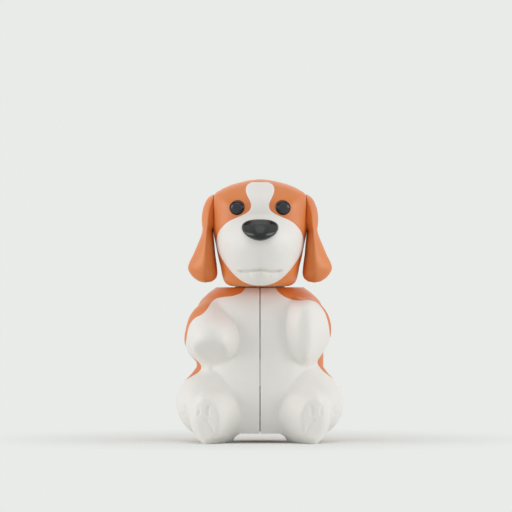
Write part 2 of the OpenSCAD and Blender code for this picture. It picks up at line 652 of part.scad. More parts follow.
function face_grid(back) = [for (i = [0 : face_columns]) [for (j = [0 : face_rows])
    let (z = face_rise(j), x = sin(180 * i / face_columns - 90) * face_half(z), y = face_y(x, z))
    [x, back ? min(y + 1.6, head_front_y(x, z) - face_seat) : y, z]]];

module face_piece() {
    color(white) seated() skin(face_grid(false), face_grid(true));
}

// Nose: a rounded triangle domed forwards, seated on the muzzle.
nose_z = head_bottom + 19.9 * head_h / 36.4;
nose_t = 2.8;
function nose_edge(a) = let (low = sin(a) < 0, n = low ? 1.7 : 2.6, up = nose_h * (low ? 0.66 : 0.34))
    pow(pow(abs(cos(a)) / (nose_w / 2), n) + pow(abs(sin(a)) / up, n), -1 / n);
function nose_point(a, u, back) = let (r = nose_edge(a) * u, x = r * cos(a), z = nose_z + r * sin(a),
    y = face_y(x, z) - 0.1)
    [x, back ? y : y - 0.5 - nose_t * pow(1 - pow(u, 2.6), 0.6), z];
function nose_grid(n, m, back) = [for (i = [0 : n - 1]) [for (j = [0 : m - 1])
    nose_point(360 * i / n, 1 - j / m, back)]];

module nose() {
    color("dimgray") seated() skin(nose_grid(26, 7, false), nose_grid(26, 3, true), true,
        [nose_point(0, 0, false), nose_point(0, 0, true)]);
}

module eye(side) {
    r = eye_d / 2;
    color("black") seated() at_eye(side) rotate_extrude() polygon(concat([[0, 1.5], [r, 1.5]],
        [for (k = [0 : 8]) let (t = 90 * k / 8) [r * cos(t), -0.1 - 1.5 * sin(t)]]));
}

module left_eye() {
    eye(-1);
}

module right_eye() {
    eye(1);
}

// Ears: lofted flaps with a fold down the front. Each section gives its height above the tip as a
// share of the ear's height, its inner side, fold and outer side from the head's half width, and its
// front and back as shares of the ear's depth from its middle.
ear_low = head_bottom + 1.6 * head_h / 36.4;
ear_y = head_y - 0.6;
ear_least = 0.6;
ear_sections = [
    [1, -2.55, -0.55, 0.45, -0.024, 0.212], [0.969, -2.55, 0.05, 1.55, -0.171, 0.324],
    [0.922, -2.55, 0.65, 2.45, -0.276, 0.394], [0.837, -2.55, 1.45, 3.35, -0.371, 0.453],
    [0.735, -2.35, 1.95, 3.75, -0.424, 0.488], [0.629, -0.85, 2.05, 3.55, -0.453, 0.5],
    [0.531, -0.35, 2.35, 3.95, -0.482, 0.506], [0.425, -0.65, 2.65, 5.25, -0.5, 0.5],
    [0.31, -0.95, 2.85, 6.75, -0.5, 0.476], [0.214, -1.35, 3.05, 8.15, -0.488, 0.429],
    [0.153, -1.55, 3.25, 8.55, -0.465, 0.371], [0.092, -1.65, 3.35, 7.75, -0.418, 0.288],
    [0.037, -1.15, 3.25, 6.25, -0.335, 0.182], [0, 0.25, 2.65, 4.45, -0.218, 0.041]];
function cut_corners(p, n) = n == 0 ? p : cut_corners([for (k = [0 : len(p) - 1])
    let (a = p[k], b = p[(k + 1) % len(p)]) each [mix(a, b, 0.25), mix(a, b, 0.75)]], n - 1);
function ear_loop(side, fold, out, front, back) = let (d = back - front) [
    [side, front + 0.06 * d], [mix(side, fold, 0.6), front], [fold, front + 0.01 * d],
    [mix(fold, out, 0.9), front + 0.3 * d], [out, front + 0.62 * d], [mix(side, out, 0.7), back], [side, back]];
function ear_ring(s) = let (h = head_w / 2, side = h + s[1], out = h + s[3], z = ear_low + s[0] * ear_h)
    [for (p = cut_corners(ear_loop(side, h + s[2], out, ear_y + s[4] * ear_d, ear_y + s[5] * ear_d), 2))
        [max(p.x, head_half(p.y, z) + ear_gap + ear_least * (p.x - side) / (out - side)), p.y, z]];
function middle(p) = [for (v = p) 1] * p / len(p);
module ear(side) {
    rings = [for (k = [len(ear_sections) - 1 : -1 : 0]) ear_ring(ear_sections[k])];
    last = len(rings) - 1;
    color(orange) seated() on_side(side) loft(
        [for (i = [0 : len(rings[0]) - 1]) [for (j = [0 : last]) rings[j][i]]],
        middle(rings[0]) - [0, 0, 0.35], middle(rings[last]) + [0, 0, 0.3]);
}

module left_ear() {
    ear(-1);
}

module right_ear() {
    ear(1);
}

// Suction cup: a soft bell whose rim lies on the wall, with a stud and a button for the keyhole.
module suction_cup() {
    r = cup_d / 2;
    n = stud_d / 2;
    b = button_d / 2;
    color("lightcyan", 0.6) translate([0, 0, 0]) rotate([90, 0, 0]) rotate_extrude() polygon([
        [0, 1.6], [r * 0.45, 1.3], [r * 0.8, 0.5], [r - 1.4, 0], [r, 0], [r, 0.5], [r * 0.8, 1.5],
        [r * 0.5, 2.8], [n + 2, standoff - 2.4], [n + 1.6, standoff - 0.1], [n, standoff - 0.1],
        [n, standoff + wall + 0.2], [b, standoff + wall + 0.3], [b, standoff + wall + 1.6],
        [b - 1, standoff + wall + 2.3], [0, standoff + wall + 2.5]]);
}

rear_shell();
chassis();
chassis_screws();
left_hinge_pin();
right_hinge_pin();
left_door_shell();
right_door_shell();
left_door_liner();
right_door_liner();
brush_carriage();
neck_grip();
head_front();
head_back();
head_screws();
face_piece();
nose();
left_eye();
right_eye();
left_ear();
right_ear();
suction_cup();
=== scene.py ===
"""Wall hung toothbrush cover in the shape of a sitting dog.

Each operator makes one piece, or one group of like pieces, in metres and in the frame of the
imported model: +Z up, the wall at y = 0, the dog facing minus Y and the origin at the centre of
the suction cup's rim. The shapes are worked out in millimetres, with z measured from the soles,
and to_frame() puts them in that frame.
"""

import math
from collections import namedtuple
from types import SimpleNamespace

import bmesh
import bpy
import numpy as np
from bpy.props import FloatProperty, FloatVectorProperty, PointerProperty
from mathutils import Matrix, Vector


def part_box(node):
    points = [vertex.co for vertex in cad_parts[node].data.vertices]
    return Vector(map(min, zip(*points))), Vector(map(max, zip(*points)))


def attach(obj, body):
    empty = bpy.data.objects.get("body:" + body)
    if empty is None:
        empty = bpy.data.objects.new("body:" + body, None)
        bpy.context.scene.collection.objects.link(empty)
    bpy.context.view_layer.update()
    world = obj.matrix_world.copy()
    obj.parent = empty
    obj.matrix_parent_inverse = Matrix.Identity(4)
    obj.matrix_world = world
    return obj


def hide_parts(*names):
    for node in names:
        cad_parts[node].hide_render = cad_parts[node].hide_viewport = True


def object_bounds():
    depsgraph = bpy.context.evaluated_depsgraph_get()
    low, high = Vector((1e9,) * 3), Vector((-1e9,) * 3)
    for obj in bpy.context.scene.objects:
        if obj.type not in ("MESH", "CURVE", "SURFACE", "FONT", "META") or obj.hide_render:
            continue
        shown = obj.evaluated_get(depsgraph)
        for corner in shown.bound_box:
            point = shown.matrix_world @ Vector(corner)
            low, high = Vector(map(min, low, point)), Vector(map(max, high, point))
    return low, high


bl_info = {
    "name": "Dog toothbrush cover",
    "version": (1, 0, 0),
    "blender": (4, 5, 0),
    "location": "View3D > Sidebar > Cover",
    "description": "Builds the shells, face, ears, finishes and studio of a toothbrush cover",
    "category": "Object",
}

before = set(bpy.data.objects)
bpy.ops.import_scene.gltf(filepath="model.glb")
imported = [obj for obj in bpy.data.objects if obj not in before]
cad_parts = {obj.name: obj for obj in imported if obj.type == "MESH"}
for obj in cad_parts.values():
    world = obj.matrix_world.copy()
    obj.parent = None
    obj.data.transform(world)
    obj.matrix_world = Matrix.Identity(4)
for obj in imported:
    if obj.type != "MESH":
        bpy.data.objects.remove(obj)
CAD_LOW, CAD_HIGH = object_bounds()
MM = 0.001

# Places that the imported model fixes, in millimetres, with heights from the soles.
# The line of the hinges, and the round corners of the rear shell, which the doors lap with a gap.
HINGE_Y = -13.5
CORNER_R = 6.0
LAP_GAP = 0.3
# The doors' floor, the lowest point of their feet, and the slot in the floor for a neck.
FLOOR_Z = 3.5
FOOT_Z = 0.3
PORT_HALF = 4.05
PORT_LENGTH = 10.8
# The doors' inner edge in front of the neck post, the gap under the head, and the head's middle.
NOTCH_R = 1.6
NECK_GAP = 0.4
HEAD_Y = HINGE_Y - 10
SOLES_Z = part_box("right_door_shell")[0][2] / MM - FOOT_Z


def curve(keys, at):
    """A smooth curve through (position, value) pairs, level beyond its ends."""
    place, value = np.array(keys, float).T
    last = len(place) - 1
    before = np.maximum(np.arange(last + 1) - 1, 0)
    after = np.minimum(np.arange(last + 1) + 1, last)
    slope = (value[after] - value[before]) / (place[after] - place[before])
    k = np.clip(np.searchsorted(place, at, side="right") - 1, 0, last - 1)
    w = place[k + 1] - place[k]
    u = np.clip((at - place[k]) / w, 0, 1)
    a, b, ma, mb = value[k], value[k + 1], slope[k] * w, slope[k + 1] * w
    return a + u * (ma + u * (3 * (b - a) - 2 * ma - mb + u * (2 * (a - b) + ma + mb)))


def ease(low, high, v):
    """0 below low, 1 above high, and smooth in between."""
    u = np.clip((v - low) / (high - low), 0, 1)
    return u * u * (3 - 2 * u)


def mix(a, b, u):
    """The value a share u of the way from a to b."""
    return a + (b - a) * u


def hump(v, width):
    """1 where v is 0, falling smoothly to nothing a few widths away."""
    return np.exp(-((v / width) ** 2))


def crowded(low, high, count, share):
    """Values from low to high, which crowd at both ends by a share."""
    u = np.linspace(0, 1, count)
    return mix(low, high, mix(u, (1 - np.cos(np.pi * u)) / 2, share))


def join(a, b, k):
    """The smooth union of two distances, rounded over a width k."""
    h = np.maximum(k - np.abs(a - b), 0) / k
    return np.minimum(a, b) - h * h * k / 4


def meet(a, b, k):
    """The smooth intersection of two distances."""
    return -join(-a, -b, k)


def soften(grid, times):
    """Averages a grid with its neighbours, and leaves its last column as it is."""
    for _ in range(times):
        g = np.pad(grid, 1, mode="reflect", reflect_type="odd")
        g = (g[:-2] + 2 * g[1:-1] + g[2:]) / 4
        g = (g[:, :-2] + 2 * g[:, 1:-1] + g[:, 2:]) / 4
        g[-1] = grid[-1]
        grid = g
    return grid


def line_distance(x, z, line):
    """How far points of the front view lie from a line through (x, z) points."""
    best = np.full(np.shape(x), 1e9)
    for (ax, az), (bx, bz) in zip(line, line[1:]):
        dx, dz = bx - ax, bz - az
        t = np.clip(((x - ax) * dx + (z - az) * dz) / (dx * dx + dz * dz), 0, 1)
        best = np.minimum(best, np.hypot(x - ax - t * dx, z - az - t * dz))
    return best


def groove(x, z, line, width, depth):
    """Depth of a soft crease along a line of the front view."""
    return depth * hump(line_distance(x, z, line), width)


# A limb runs from a root to a tip. Each end has a radius and a height as a share of its width,
# and the limb blends with what it stands on over a width.
# A limb can be cut flat across its tip, by a plane that faces a way and stands off the tip.
# The cut's edge is rounded, and can be softer by a number of times on its outer side.
Limb = namedtuple("Limb", "root root_r root_tall tip tip_r tip_tall blend cut off edge softer",
                  defaults=(None, 0, 1, 1))

# A thigh and a foot, and for each arm an upper arm and a paw, all for the +X side.
LEGS = [
    Limb((17.4, -23, 13.4), 11.25, 1.0, (17.6, -26, 12.8), 10.4, 1.02, 5),
    Limb((11.8, -26, 10), 8.6, 1.1, (18.5, -40.6, 8.7), 6.5, 1.32, 1.8,
         (0.3, -0.95, -0.06), 2.0, 1.1, 6),
]
RIGHT_ARM = [
    Limb((16.4, -23.5, 39.8), 7.0, 1.1, (16.5, -27, 38), 7.0, 1.2, 4),
    Limb((16, -26, 38.8), 8.0, 1.2, (14.6, -36.2, 37.4), 3.9, 2.45, 1.8,
         (-0.05, -0.99, -0.05), 1.9, 4),
]
LEFT_ARM = [
    Limb((17.6, -23.5, 39.4), 7.1, 1.05, (18.5, -27, 35.4), 7.2, 1.1, 4),
    Limb((16.5, -26, 38.6), 7.6, 1.1, (16, -35, 35), 7.4, 1.05, 2,
         (0.13, -0.54, -0.83), 4.3, 0.9),
]
# The softer side of a cut begins at the limb's middle and is full this far outside it.
SOFT_SIDE = 5.0

# The torso's half width and depth against height, each as shares of the whole.
SIDE_SHAPE = [
    (0, 0.8), (0.05, 0.9), (0.09, 0.965), (0.125, 0.992), (0.17, 1), (0.83, 1),
    (0.87, 0.985), (0.91, 0.94), (0.955, 0.835), (0.985, 0.74), (1, 0.685),
]
FRONT_SHAPE = [
    (0, 0.8), (0.066, 0.88), (0.16, 0.95), (0.32, 1), (0.5, 0.985), (0.7, 0.93),
    (0.85, 0.86), (0.95, 0.74), (1, 0.62),
]
# The power of the torso's section from above: 2 is an ellipse and more is squarer.
TORSO_POWER = 2.3


def limb_distance(points, limb):
    """How far points lie from a limb's skin, less than 0 inside it."""
    root, tip = np.array(limb.root), np.array(limb.tip)
    axis = tip - root
    t = np.clip((points - root) @ axis / (axis @ axis), 0, 1)
    q = points - root - t[..., None] * axis
    tall = mix(limb.root_tall, limb.tip_tall, t)
    across = np.sqrt(q[..., 0] ** 2 + q[..., 1] ** 2 + (q[..., 2] / tall) ** 2)
    d = across - mix(limb.root_r, limb.tip_r, t)
    if limb.cut is None:
        return d
    edge = limb.edge * mix(1, limb.softer, ease(0, SOFT_SIDE, points[..., 0] - tip[0]))
    return meet(d, (points - tip) @ np.array(limb.cut) - limb.off, edge)


def torso_side(s, z):
    """Half width of the torso at a height."""
    return s.torso_width / 2 * curve(SIDE_SHAPE, z / s.body_height)


def torso_front(s, z):
    """Depth of the belly in front of the hinges at a height."""
    return s.belly_depth * curve(FRONT_SHAPE, z / s.body_height)


def torso_radius(s, a, z, inset=0.0):
    """Radius of the torso's section at an azimuth and a height, from the middle of the hinges."""
    u = np.cos(a) / (torso_side(s, z) - inset)
    v = -np.sin(a) / (torso_front(s, z) - inset)
    return (np.maximum(u, 0) ** TORSO_POWER + np.maximum(v, 0) ** TORSO_POWER) ** (-1 / TORSO_POWER)


def place(s, r, a, z):
    """The point at radius r and azimuth a, which runs from minus 90 degrees at the split to 0."""
    r, a, z = np.broadcast_arrays(r, a, z)
    return np.stack([s.split_gap / 2 + r * np.cos(a), HINGE_Y + r * np.sin(a), z], axis=-1)


# How far out the search for a limb's skin begins, its step and its halvings, and how far a limb
# may pass the torso straight in front, as a share of the torso's radius.
LIMB_REACH = 15.6
SEARCH_STEP = 0.5
HALVINGS = 10
FRONT_REACH = 1.5
# How fast the distance from the torso grows where limbs blend into it: under 1 widens the blend.
TORSO_SLOPE = 0.9


def outer_radius(s, a, z, limbs, least):
    """Outermost radius of the torso and its limbs, found from outside and then halved."""

    def inside(r):
        """Whether points at these radii are inside the torso and its limbs."""
        points = place(s, r, a, z)
        d = TORSO_SLOPE * (r - least)
        for limb in limbs:
            d = join(d, limb_distance(points, limb), limb.blend)
        return d < 0

    found = np.zeros(np.shape(least), bool)
    low = least.copy()
    for k in range(1, int(LIMB_REACH / SEARCH_STEP)):
        r = least + LIMB_REACH - SEARCH_STEP * k
        hit = ~found
        hit[hit] = inside(r)[hit]
        low[hit] = r[hit]
        found |= hit
    high = low + SEARCH_STEP
    for _ in range(HALVINGS):
        middle = (low + high) / 2
        hit = inside(middle) & found
        low = np.where(hit, middle, low)
        high = np.where(hit, high, middle)
    r = np.where(found, low, least)
    return np.minimum(r, torso_radius(s, a, z) * (1 + FRONT_REACH * -np.sin(a)))


# The slot is nearly square from above.
PORT_POWER = 6
# A door's lower edge drops to its foot over the first pair of azimuths and rises over the second.
FOOT_BEGINS = (-71, -57)
FOOT_ENDS = (-48, -24)
# Least radius of the rear shell's upright corners.
CORNER_LEAST = 1.2


def port_radius(a):
    """Radius of the neck's slot in the floor."""
    u = np.maximum(np.cos(a) / PORT_HALF, 0)
    v = np.maximum(-np.sin(a) / PORT_LENGTH, 0)
    return (u ** PORT_POWER + v ** PORT_POWER) ** (-1 / PORT_POWER)


def door_low(a):
    """Height of a door's lower edge: the floor's, or the foot's where the foot is."""
    deg = np.degrees(a)
    return mix(FLOOR_Z, FOOT_Z, ease(*FOOT_BEGINS, deg) * (1 - ease(*FOOT_ENDS, deg)))


def hinge_x(s):
    """How far a hinge stands from the middle."""
    return s.torso_width / 2 - s.shell_wall - LAP_GAP - CORNER_R


def rear_radius(s, z):
    """Radius of the rear shell's corner about a hinge axis."""
    return np.maximum(torso_side(s, z) - hinge_x(s) - s.shell_wall - LAP_GAP, CORNER_LEAST)


# Creases of the feet and paws in the front view, for the +X side, with their widths and depths.
TOES = [
    [(17.2, 12.9), (17.6, 11.4), (17.3, 10.2)],
    [(20.9, 12.9), (20.4, 11.5), (20.7, 10.3)],
    [(25.6, 12.6), (25.3, 11.3), (25.5, 10.2)],
]
TOE_WIDTH, TOE_DEPTH = 0.45, 0.35
SOLE_EDGE = [(18.0, 8.2), (16.6, 6.6), (15.6, 4.4), (15.3, 2.6)]
EDGE_WIDTH, EDGE_DEPTH = 0.4, 0.3
# The creases fade out between these azimuths, so the sides stay plain.
CREASES_FADE = (-28, -36)

# The orange coat covers a door above a line of the front view, given as height against distance
# from the middle, and behind an azimuth in degrees that depends on the height. Where the two meet,
# a millimetre of height counts as much as this many degrees. The rear edge, from this azimuth
# back, is orange through the whole wall.
DEGREES_PER_MM = 2.5
REAR_EDGE = -0.2
LEFT_COAT = [
    (4.9, 53.2), (5.3, 52.2), (6.2, 51.2), (7.2, 50.7), (9.4, 50.0), (12.3, 49.7), (14.9, 49.1),
    (16.4, 48.0), (17.9, 45.7), (19.6, 43.9), (22.1, 42.5), (23.6, 40.7), (24.5, 38.2),
    (25.0, 35.2), (25.6, 31),
]
RIGHT_COAT = [
    (5.0, 53.2), (5.7, 52.1), (6.8, 50.9), (8.9, 49.5), (11.5, 48.7), (14.5, 48.5), (17, 48.6),
    (19.1, 47.9), (21, 46), (22.4, 43.4), (23.3, 40), (23.8, 36),
]
LEFT_REAR = [
    (-5, -9), (13, -11), (16, -13), (18.5, -16), (21, -21), (23, -29), (25, -34.5), (28, -35),
    (31, -30), (34, -27), (53, -26),
]
RIGHT_REAR = [
    (-5, -9), (13, -11), (16, -13), (18.5, -16), (21, -20), (23, -26), (25, -30), (28, -31),
    (31, -30), (34, -27), (53, -26),
]

# Under a door: the flat floor reaches this far from the middle, where the sole begins, and at
# least this far beyond the slot. It ends this far inside the door's front, but never nearer to the
# slot than the last rim. The sole rounds up to the floor over a width and a height.
SOLE_START = 10.5
SOLE_RIM = 1.0
FRONT_RIM = 3.5
SLOT_RIM = 0.8
SOLE_STEP = 2.4
SOLE_RISE = 0.4
# The outer skin is softened this often, which takes the search's steps out of it.
SOFTENINGS = 5


def creases(x, z):
    """Depth of the creases of the toes and of the sole's edge."""
    toes = sum(groove(x, z, line, TOE_WIDTH, TOE_DEPTH) for line in TOES)
    return toes + groove(x, z, SOLE_EDGE, EDGE_WIDTH, EDGE_DEPTH)


def door_skin(s, limbs, a, low, under, rows):
    """Radius, azimuth and height of a door's outer skin from its lower edge to its top."""
    z = mix(low[:, None], s.body_height, np.linspace(0, 1, rows + 1)[None, :])
    a = np.broadcast_to(a[:, None], z.shape)
    torso = torso_radius(s, a, z)
    foot = ease(FLOOR_Z, FOOT_Z + SOLE_RISE, z)
    least = mix(torso, np.minimum(under[:, None] + SOLE_STEP, torso), foot)
    r = soften(outer_radius(s, a, z, limbs, least), SOFTENINGS)
    points = place(s, r, a, z)
    facing = ease(*np.radians(CREASES_FADE), a)
    return r - creases(points[..., 0], points[..., 2]) * facing, a, z


def door_grids(s, limbs, columns=150, rows=150):
    """Outer and inner grids of a door, as columns from the split to the seam, rows upwards."""
    a = np.radians(np.linspace(-90, 0, columns + 1))
    low = door_low(a)
    port = port_radius(a)

    def edge(r, z):
        """One point of each column, at a radius and a height."""
        return place(s, r, a, np.broadcast_to(z, a.shape))[:, None]

    under = np.maximum(SOLE_START / np.maximum(np.cos(a), 0.01), port + SOLE_RIM)
    r, wide_a, z = door_skin(s, limbs, a, low, under, rows)
    under = np.maximum(np.minimum(under, r[:, 0] - FRONT_RIM), port + SLOT_RIM)
    outer = np.concatenate([edge(port, FLOOR_Z), edge(under, FLOOR_Z), edge(under + SOLE_STEP, low),
                            place(s, r, wide_a, z), edge(NOTCH_R, s.body_height)], axis=1)
    bottom, top = FLOOR_Z + s.shell_wall, s.body_height - s.shell_wall
    zi = np.linspace(bottom, top, outer.shape[1] - 2)[None, :]
    wall = place(s, torso_radius(s, a[:, None], zi, s.shell_wall), a[:, None], zi)
    inner = np.concatenate([edge(port, bottom), wall, edge(NOTCH_R, top)], axis=1)
    return outer, inner


# The power of the head's section from the side, in front and behind: more is squarer.
HEAD_POWER = 2.5
BACK_POWER = 4.0
# The head's outline in the front view: its radius against the angle from level, as a share of the
# radius of an ellipse through its sides and its top.
HEAD_OUTLINE = [
    (-90, 1.9), (-58.2, 1.43), (-45.8, 1.2), (-24.7, 1.022), (0, 1.0), (14.3, 1.033), (28, 1.125),
    (36, 1.17), (42.4, 1.137), (50.2, 1.094), (65.8, 1.024), (80, 1.002), (90, 0.999),
]
# How far the head's top stands above its middle, as a share of its height, and the rounding of its
# flat underside.
HEAD_UP = 0.431
CHIN_ROUND = 2.4
# Places on the head as shares of its height above its underside.
MUZZLE_AT = 13.8 / 36.4
NOSE_AT = 19.9 / 36.4
EYES_AT = 26.55 / 36.4
FACE_HIGH = 0.9695
# Half width of the white face above the muzzle's middle: height and width as shares of the head's.
FACE_TOP = [
    (0.379, 0.4592), (0.41, 0.4588), (0.445, 0.4545), (0.486, 0.4412), (0.5247, 0.4188),
    (0.5632, 0.3823), (0.5934, 0.344), (0.6181, 0.2982), (0.6429, 0.2342), (0.6648, 0.1754),
    (0.6868, 0.1316), (0.7115, 0.1053), (0.739, 0.0955), (0.7665, 0.096), (0.805, 0.113),
    (0.8516, 0.1378), (0.8984, 0.149), (0.9313, 0.1413), (0.9505, 0.1237), (FACE_HIGH, 0.085),
]
# How far the muzzle goes below and above its middle, as shares of its height, and the powers of
# its outline at the cheeks, at the chin and above.
MUZZLE_DOWN = 0.505
MUZZLE_UP = 0.405
CHEEK_POWER = 1.5
CHIN_POWER = 1.95
BRIDGE_POWER = 2.2
# The two halves of the muzzle blend over this much height on each side of its middle.
MUZZLE_BLEND = 6


def on_head(s, share):
    """The height of a place on the head, given as a share of the head's height."""
    return s.body_height + NECK_GAP + share * s.head_height


def head_z(s):
    """The height of the head's middle."""
    return on_head(s, 1 - HEAD_UP)


def head_across(s, x, z):
    """1 on the outline of the head in the front view, less inside it. z is from the middle."""
    u, v = np.abs(x) / (s.head_width / 2), z / (s.head_height * HEAD_UP)
    return np.hypot(u, v) / curve(HEAD_OUTLINE, np.degrees(np.arctan2(v, np.maximum(u, 1e-9))))


def head_radius(s, d, inset=0.0):
    """The head's radius along directions d from its middle."""
    m = np.where(d[..., 1] > 0, BACK_POWER, HEAD_POWER)
    across = head_across(s, d[..., 0], d[..., 2])
    depth = np.abs(d[..., 1]) / (s.head_depth / 2)
    r = (across ** m + depth ** m) ** (-1 / m) - inset
    flat = (head_z(s) - on_head(s, 0) - inset) / np.maximum(-d[..., 2], 1e-6)
    return np.where(d[..., 2] < 0, join(r, flat, CHIN_ROUND), r)


def head_grid(s, face, inset, columns=160, rows=70):
    """Half of the head as columns round its face and rows from its rim to its middle."""
    a = np.radians(np.linspace(0, 360, columns, endpoint=False))[:, None]
    e = np.radians(np.linspace(0, 90, rows))[None, :]
    d = np.stack(np.broadcast_arrays(np.cos(e) * np.cos(a), -face * np.sin(e) + 0 * a,
                                     face * np.cos(e) * np.sin(a)), axis=-1)
    return np.array([0, HEAD_Y, head_z(s)]) + head_radius(s, d, inset)[..., None] * d


def head_front_y(s, x, z):
    """Where the front of the head is at a place of the front view."""
    across = np.minimum(head_across(s, x, z - head_z(s)), 1)
    return HEAD_Y - s.head_depth / 2 * (1 - across ** HEAD_POWER) ** (1 / HEAD_POWER)


def jaw_power(rise):
    """The power of the muzzle's outline below its middle, from the cheeks down to the chin."""
    return mix(CHEEK_POWER, CHIN_POWER, np.minimum(rise, 1) ** 3)


def muzzle_rise(s, z):
    """Height above or below the muzzle's middle as a share of its half height, and its power."""
    t = z - on_head(s, MUZZLE_AT)
    up = ease(-MUZZLE_BLEND, MUZZLE_BLEND, t)
    rise = np.abs(t) / (s.muzzle_height * mix(MUZZLE_DOWN, MUZZLE_UP, up))
    return rise, mix(jaw_power(rise), BRIDGE_POWER, up)


def muzzle_share(s, x, z):
    """0 in the middle of the muzzle and 1 on its edge."""
    rise, m = muzzle_rise(s, z)
    return (np.abs(x) / (s.muzzle_width / 2)) ** m + rise ** m


def face_half(s, z):
    """Half width of the white face at a height."""
    middle = on_head(s, MUZZLE_AT)
    rise = np.minimum(np.abs(z - middle) / (s.muzzle_height * MUZZLE_DOWN), 1)
    m = jaw_power(rise)
    jaw = s.muzzle_width / 2 * (1 - rise ** m) ** (1 / m)
    top = s.head_width * curve(FACE_TOP, (z - on_head(s, 0)) / s.head_height)
    return np.where(z > middle, top, jaw)


# The mouth as height against distance from the middle. The face steps back under it, over a short
# edge, and comes forward again further down. A crease runs just under it, and both fade towards
# its ends.
MOUTH = [
    (-7.5, 58.6), (-5.5, 58.65), (-3.2, 58.7), (-1.6, 58.95), (0.2, 59.1), (1.6, 58.9),
    (2.7, 58.65), (5.1, 58.6), (7.5, 59.0),
]
LIP_STEP, LIP_HEIGHT = 0.9, 1.7
LIP_EDGE = (-0.25, 0.2)
CREASE_DEPTH, CREASE_BELOW, CREASE_WIDTH = 1.1, 0.15, 0.45
MOUTH_ENDS = (8.3, 5.8)
CHIN_DENTS = [
    [(-0.5, 57.9), (-0.4, 57.0)],
    [(3.4, 57.6), (3.2, 56.6)],
    [(-3.6, 57.6), (-3.4, 56.6)],
]
DENT_WIDTH, DENT_DEPTH = 0.6, 0.16


def lower_lip(x, z):
    """How far the face steps back under the upper lip, and in the dents of the chin."""
    below = curve(MOUTH, x) - z
    step = LIP_STEP * ease(*LIP_EDGE, below) * hump(below, LIP_HEIGHT)
    crease = CREASE_DEPTH * hump(below - CREASE_BELOW, CREASE_WIDTH)
    dents = sum(groove(x, z, dent, DENT_WIDTH, DENT_DEPTH) for dent in CHIN_DENTS)
    return (step + crease) * ease(*MOUTH_ENDS, np.abs(x)) + dents


# How far the face stands in front of the head, and the powers of the muzzle's bulge, which is full
# at the muzzle and thin at the bridge of the nose.
FACE_PROUD = 0.55
MUZZLE_BULGE = 0.72
BRIDGE_BULGE = 1.7
BRIDGE_FADE = (0.1, 0.85)
# The face piece's edge: its height over the head, the width that it rounds over, and how far its
# back is set into the head, within its greatest wall.
EDGE_PROUD = 0.12
EDGE_ROUND = 1.0
FACE_SEAT = 0.5
FACE_WALL = 1.6
# Its lowest row, where it still has a width, and the share by which rows crowd at both ends.
FACE_START = 0.05
ROWS_CROWD = 0.75


def face_y(s, x, z):
    """The front of the face piece without its rounded edge."""
    q = np.clip(muzzle_share(s, x, z), 0, 1)
    lift = ease(*BRIDGE_FADE, (z - on_head(s, MUZZLE_AT)) / (s.muzzle_height * MUZZLE_UP))
    bulge = (1 - q) ** mix(MUZZLE_BULGE, BRIDGE_BULGE, lift)
    return head_front_y(s, x, z) - FACE_PROUD - s.muzzle_depth * bulge + lower_lip(x, z)


def face_grids(s, columns=120, rows=210):
    """Front and back grids of the face piece, as columns across it, rows upwards."""
    low = on_head(s, MUZZLE_AT) - s.muzzle_height * MUZZLE_DOWN + FACE_START
    high = on_head(s, FACE_HIGH)
    z = crowded(low, high, rows, ROWS_CROWD)
    half = face_half(s, z)
    t = np.sin(np.linspace(-np.pi / 2, np.pi / 2, columns))[:, None]
    x = half * t
    z = np.broadcast_to(z, x.shape)
    front, skin = face_y(s, x, z), head_front_y(s, x, z)
    from_edge = np.minimum(half * (1 - np.abs(t)), np.minimum(z - low, high - z))
    inside = np.clip(from_edge / EDGE_ROUND, 0, 1)
    front = mix(skin - EDGE_PROUD, front, np.sqrt(1 - (1 - inside) ** 2))
    back = np.minimum(skin + FACE_SEAT, front + FACE_WALL)
    return np.stack([x, front, z], -1), np.stack([x, back, z], -1)


# The nose's outline below and above its middle: a power, and a height as a share of the whole.
NOSE_LOW_POWER, NOSE_DOWN = 1.78, 0.615
NOSE_TOP_POWER, NOSE_UP = 2.35, 0.385
# Its dome stands out this far, with a steep side, and curves back to both sides. The brow is the
# flat top that slopes back upwards from the dome, down to a least height over the face.
NOSE_DOME, DOME_POWER, DOME_CURVE = 3.3, 5, 0.085
BROW_OUT, BROW_SLOPE, BROW_Z, BROW_LEAST = 3.05, 0.8, 1.3, 0.4
BROW_BLEND = 0.12
NOSE_SEAT = 0.6


def nose_grid(s, back, columns=96, rows=26):
    """The nose's front or back, as columns round it and rows from its edge to its middle."""
    a = np.radians(np.linspace(0, 360, columns, endpoint=False))[:, None]
    u = np.linspace(1, 0, rows)[None, :]
    low = np.sin(a) < 0
    n = np.where(low, NOSE_LOW_POWER, NOSE_TOP_POWER)
    up = s.nose_height * np.where(low, NOSE_DOWN, NOSE_UP)
    across, along = np.abs(np.cos(a)) / (s.nose_width / 2), np.abs(np.sin(a)) / up
    edge = (across ** n + along ** n) ** (-1 / n)
    middle = on_head(s, NOSE_AT)
    x, z = edge * u * np.cos(a), middle + edge * u * np.sin(a)
    y = face_y(s, x, z)
    if back:
        return np.stack([x, y + NOSE_SEAT, z], -1)
    dome = NOSE_DOME * (1 - u ** DOME_POWER) ** 0.5 - DOME_CURVE * x ** 2 * (1 - u ** 4)
    brow = BROW_OUT - BROW_SLOPE * (z - middle - BROW_Z) - DOME_CURVE * x ** 2
    height = np.where(u < 1, join(dome, np.maximum(brow, BROW_LEAST), BROW_BLEND), 0)
    return np.stack([x, y - height, z], -1)


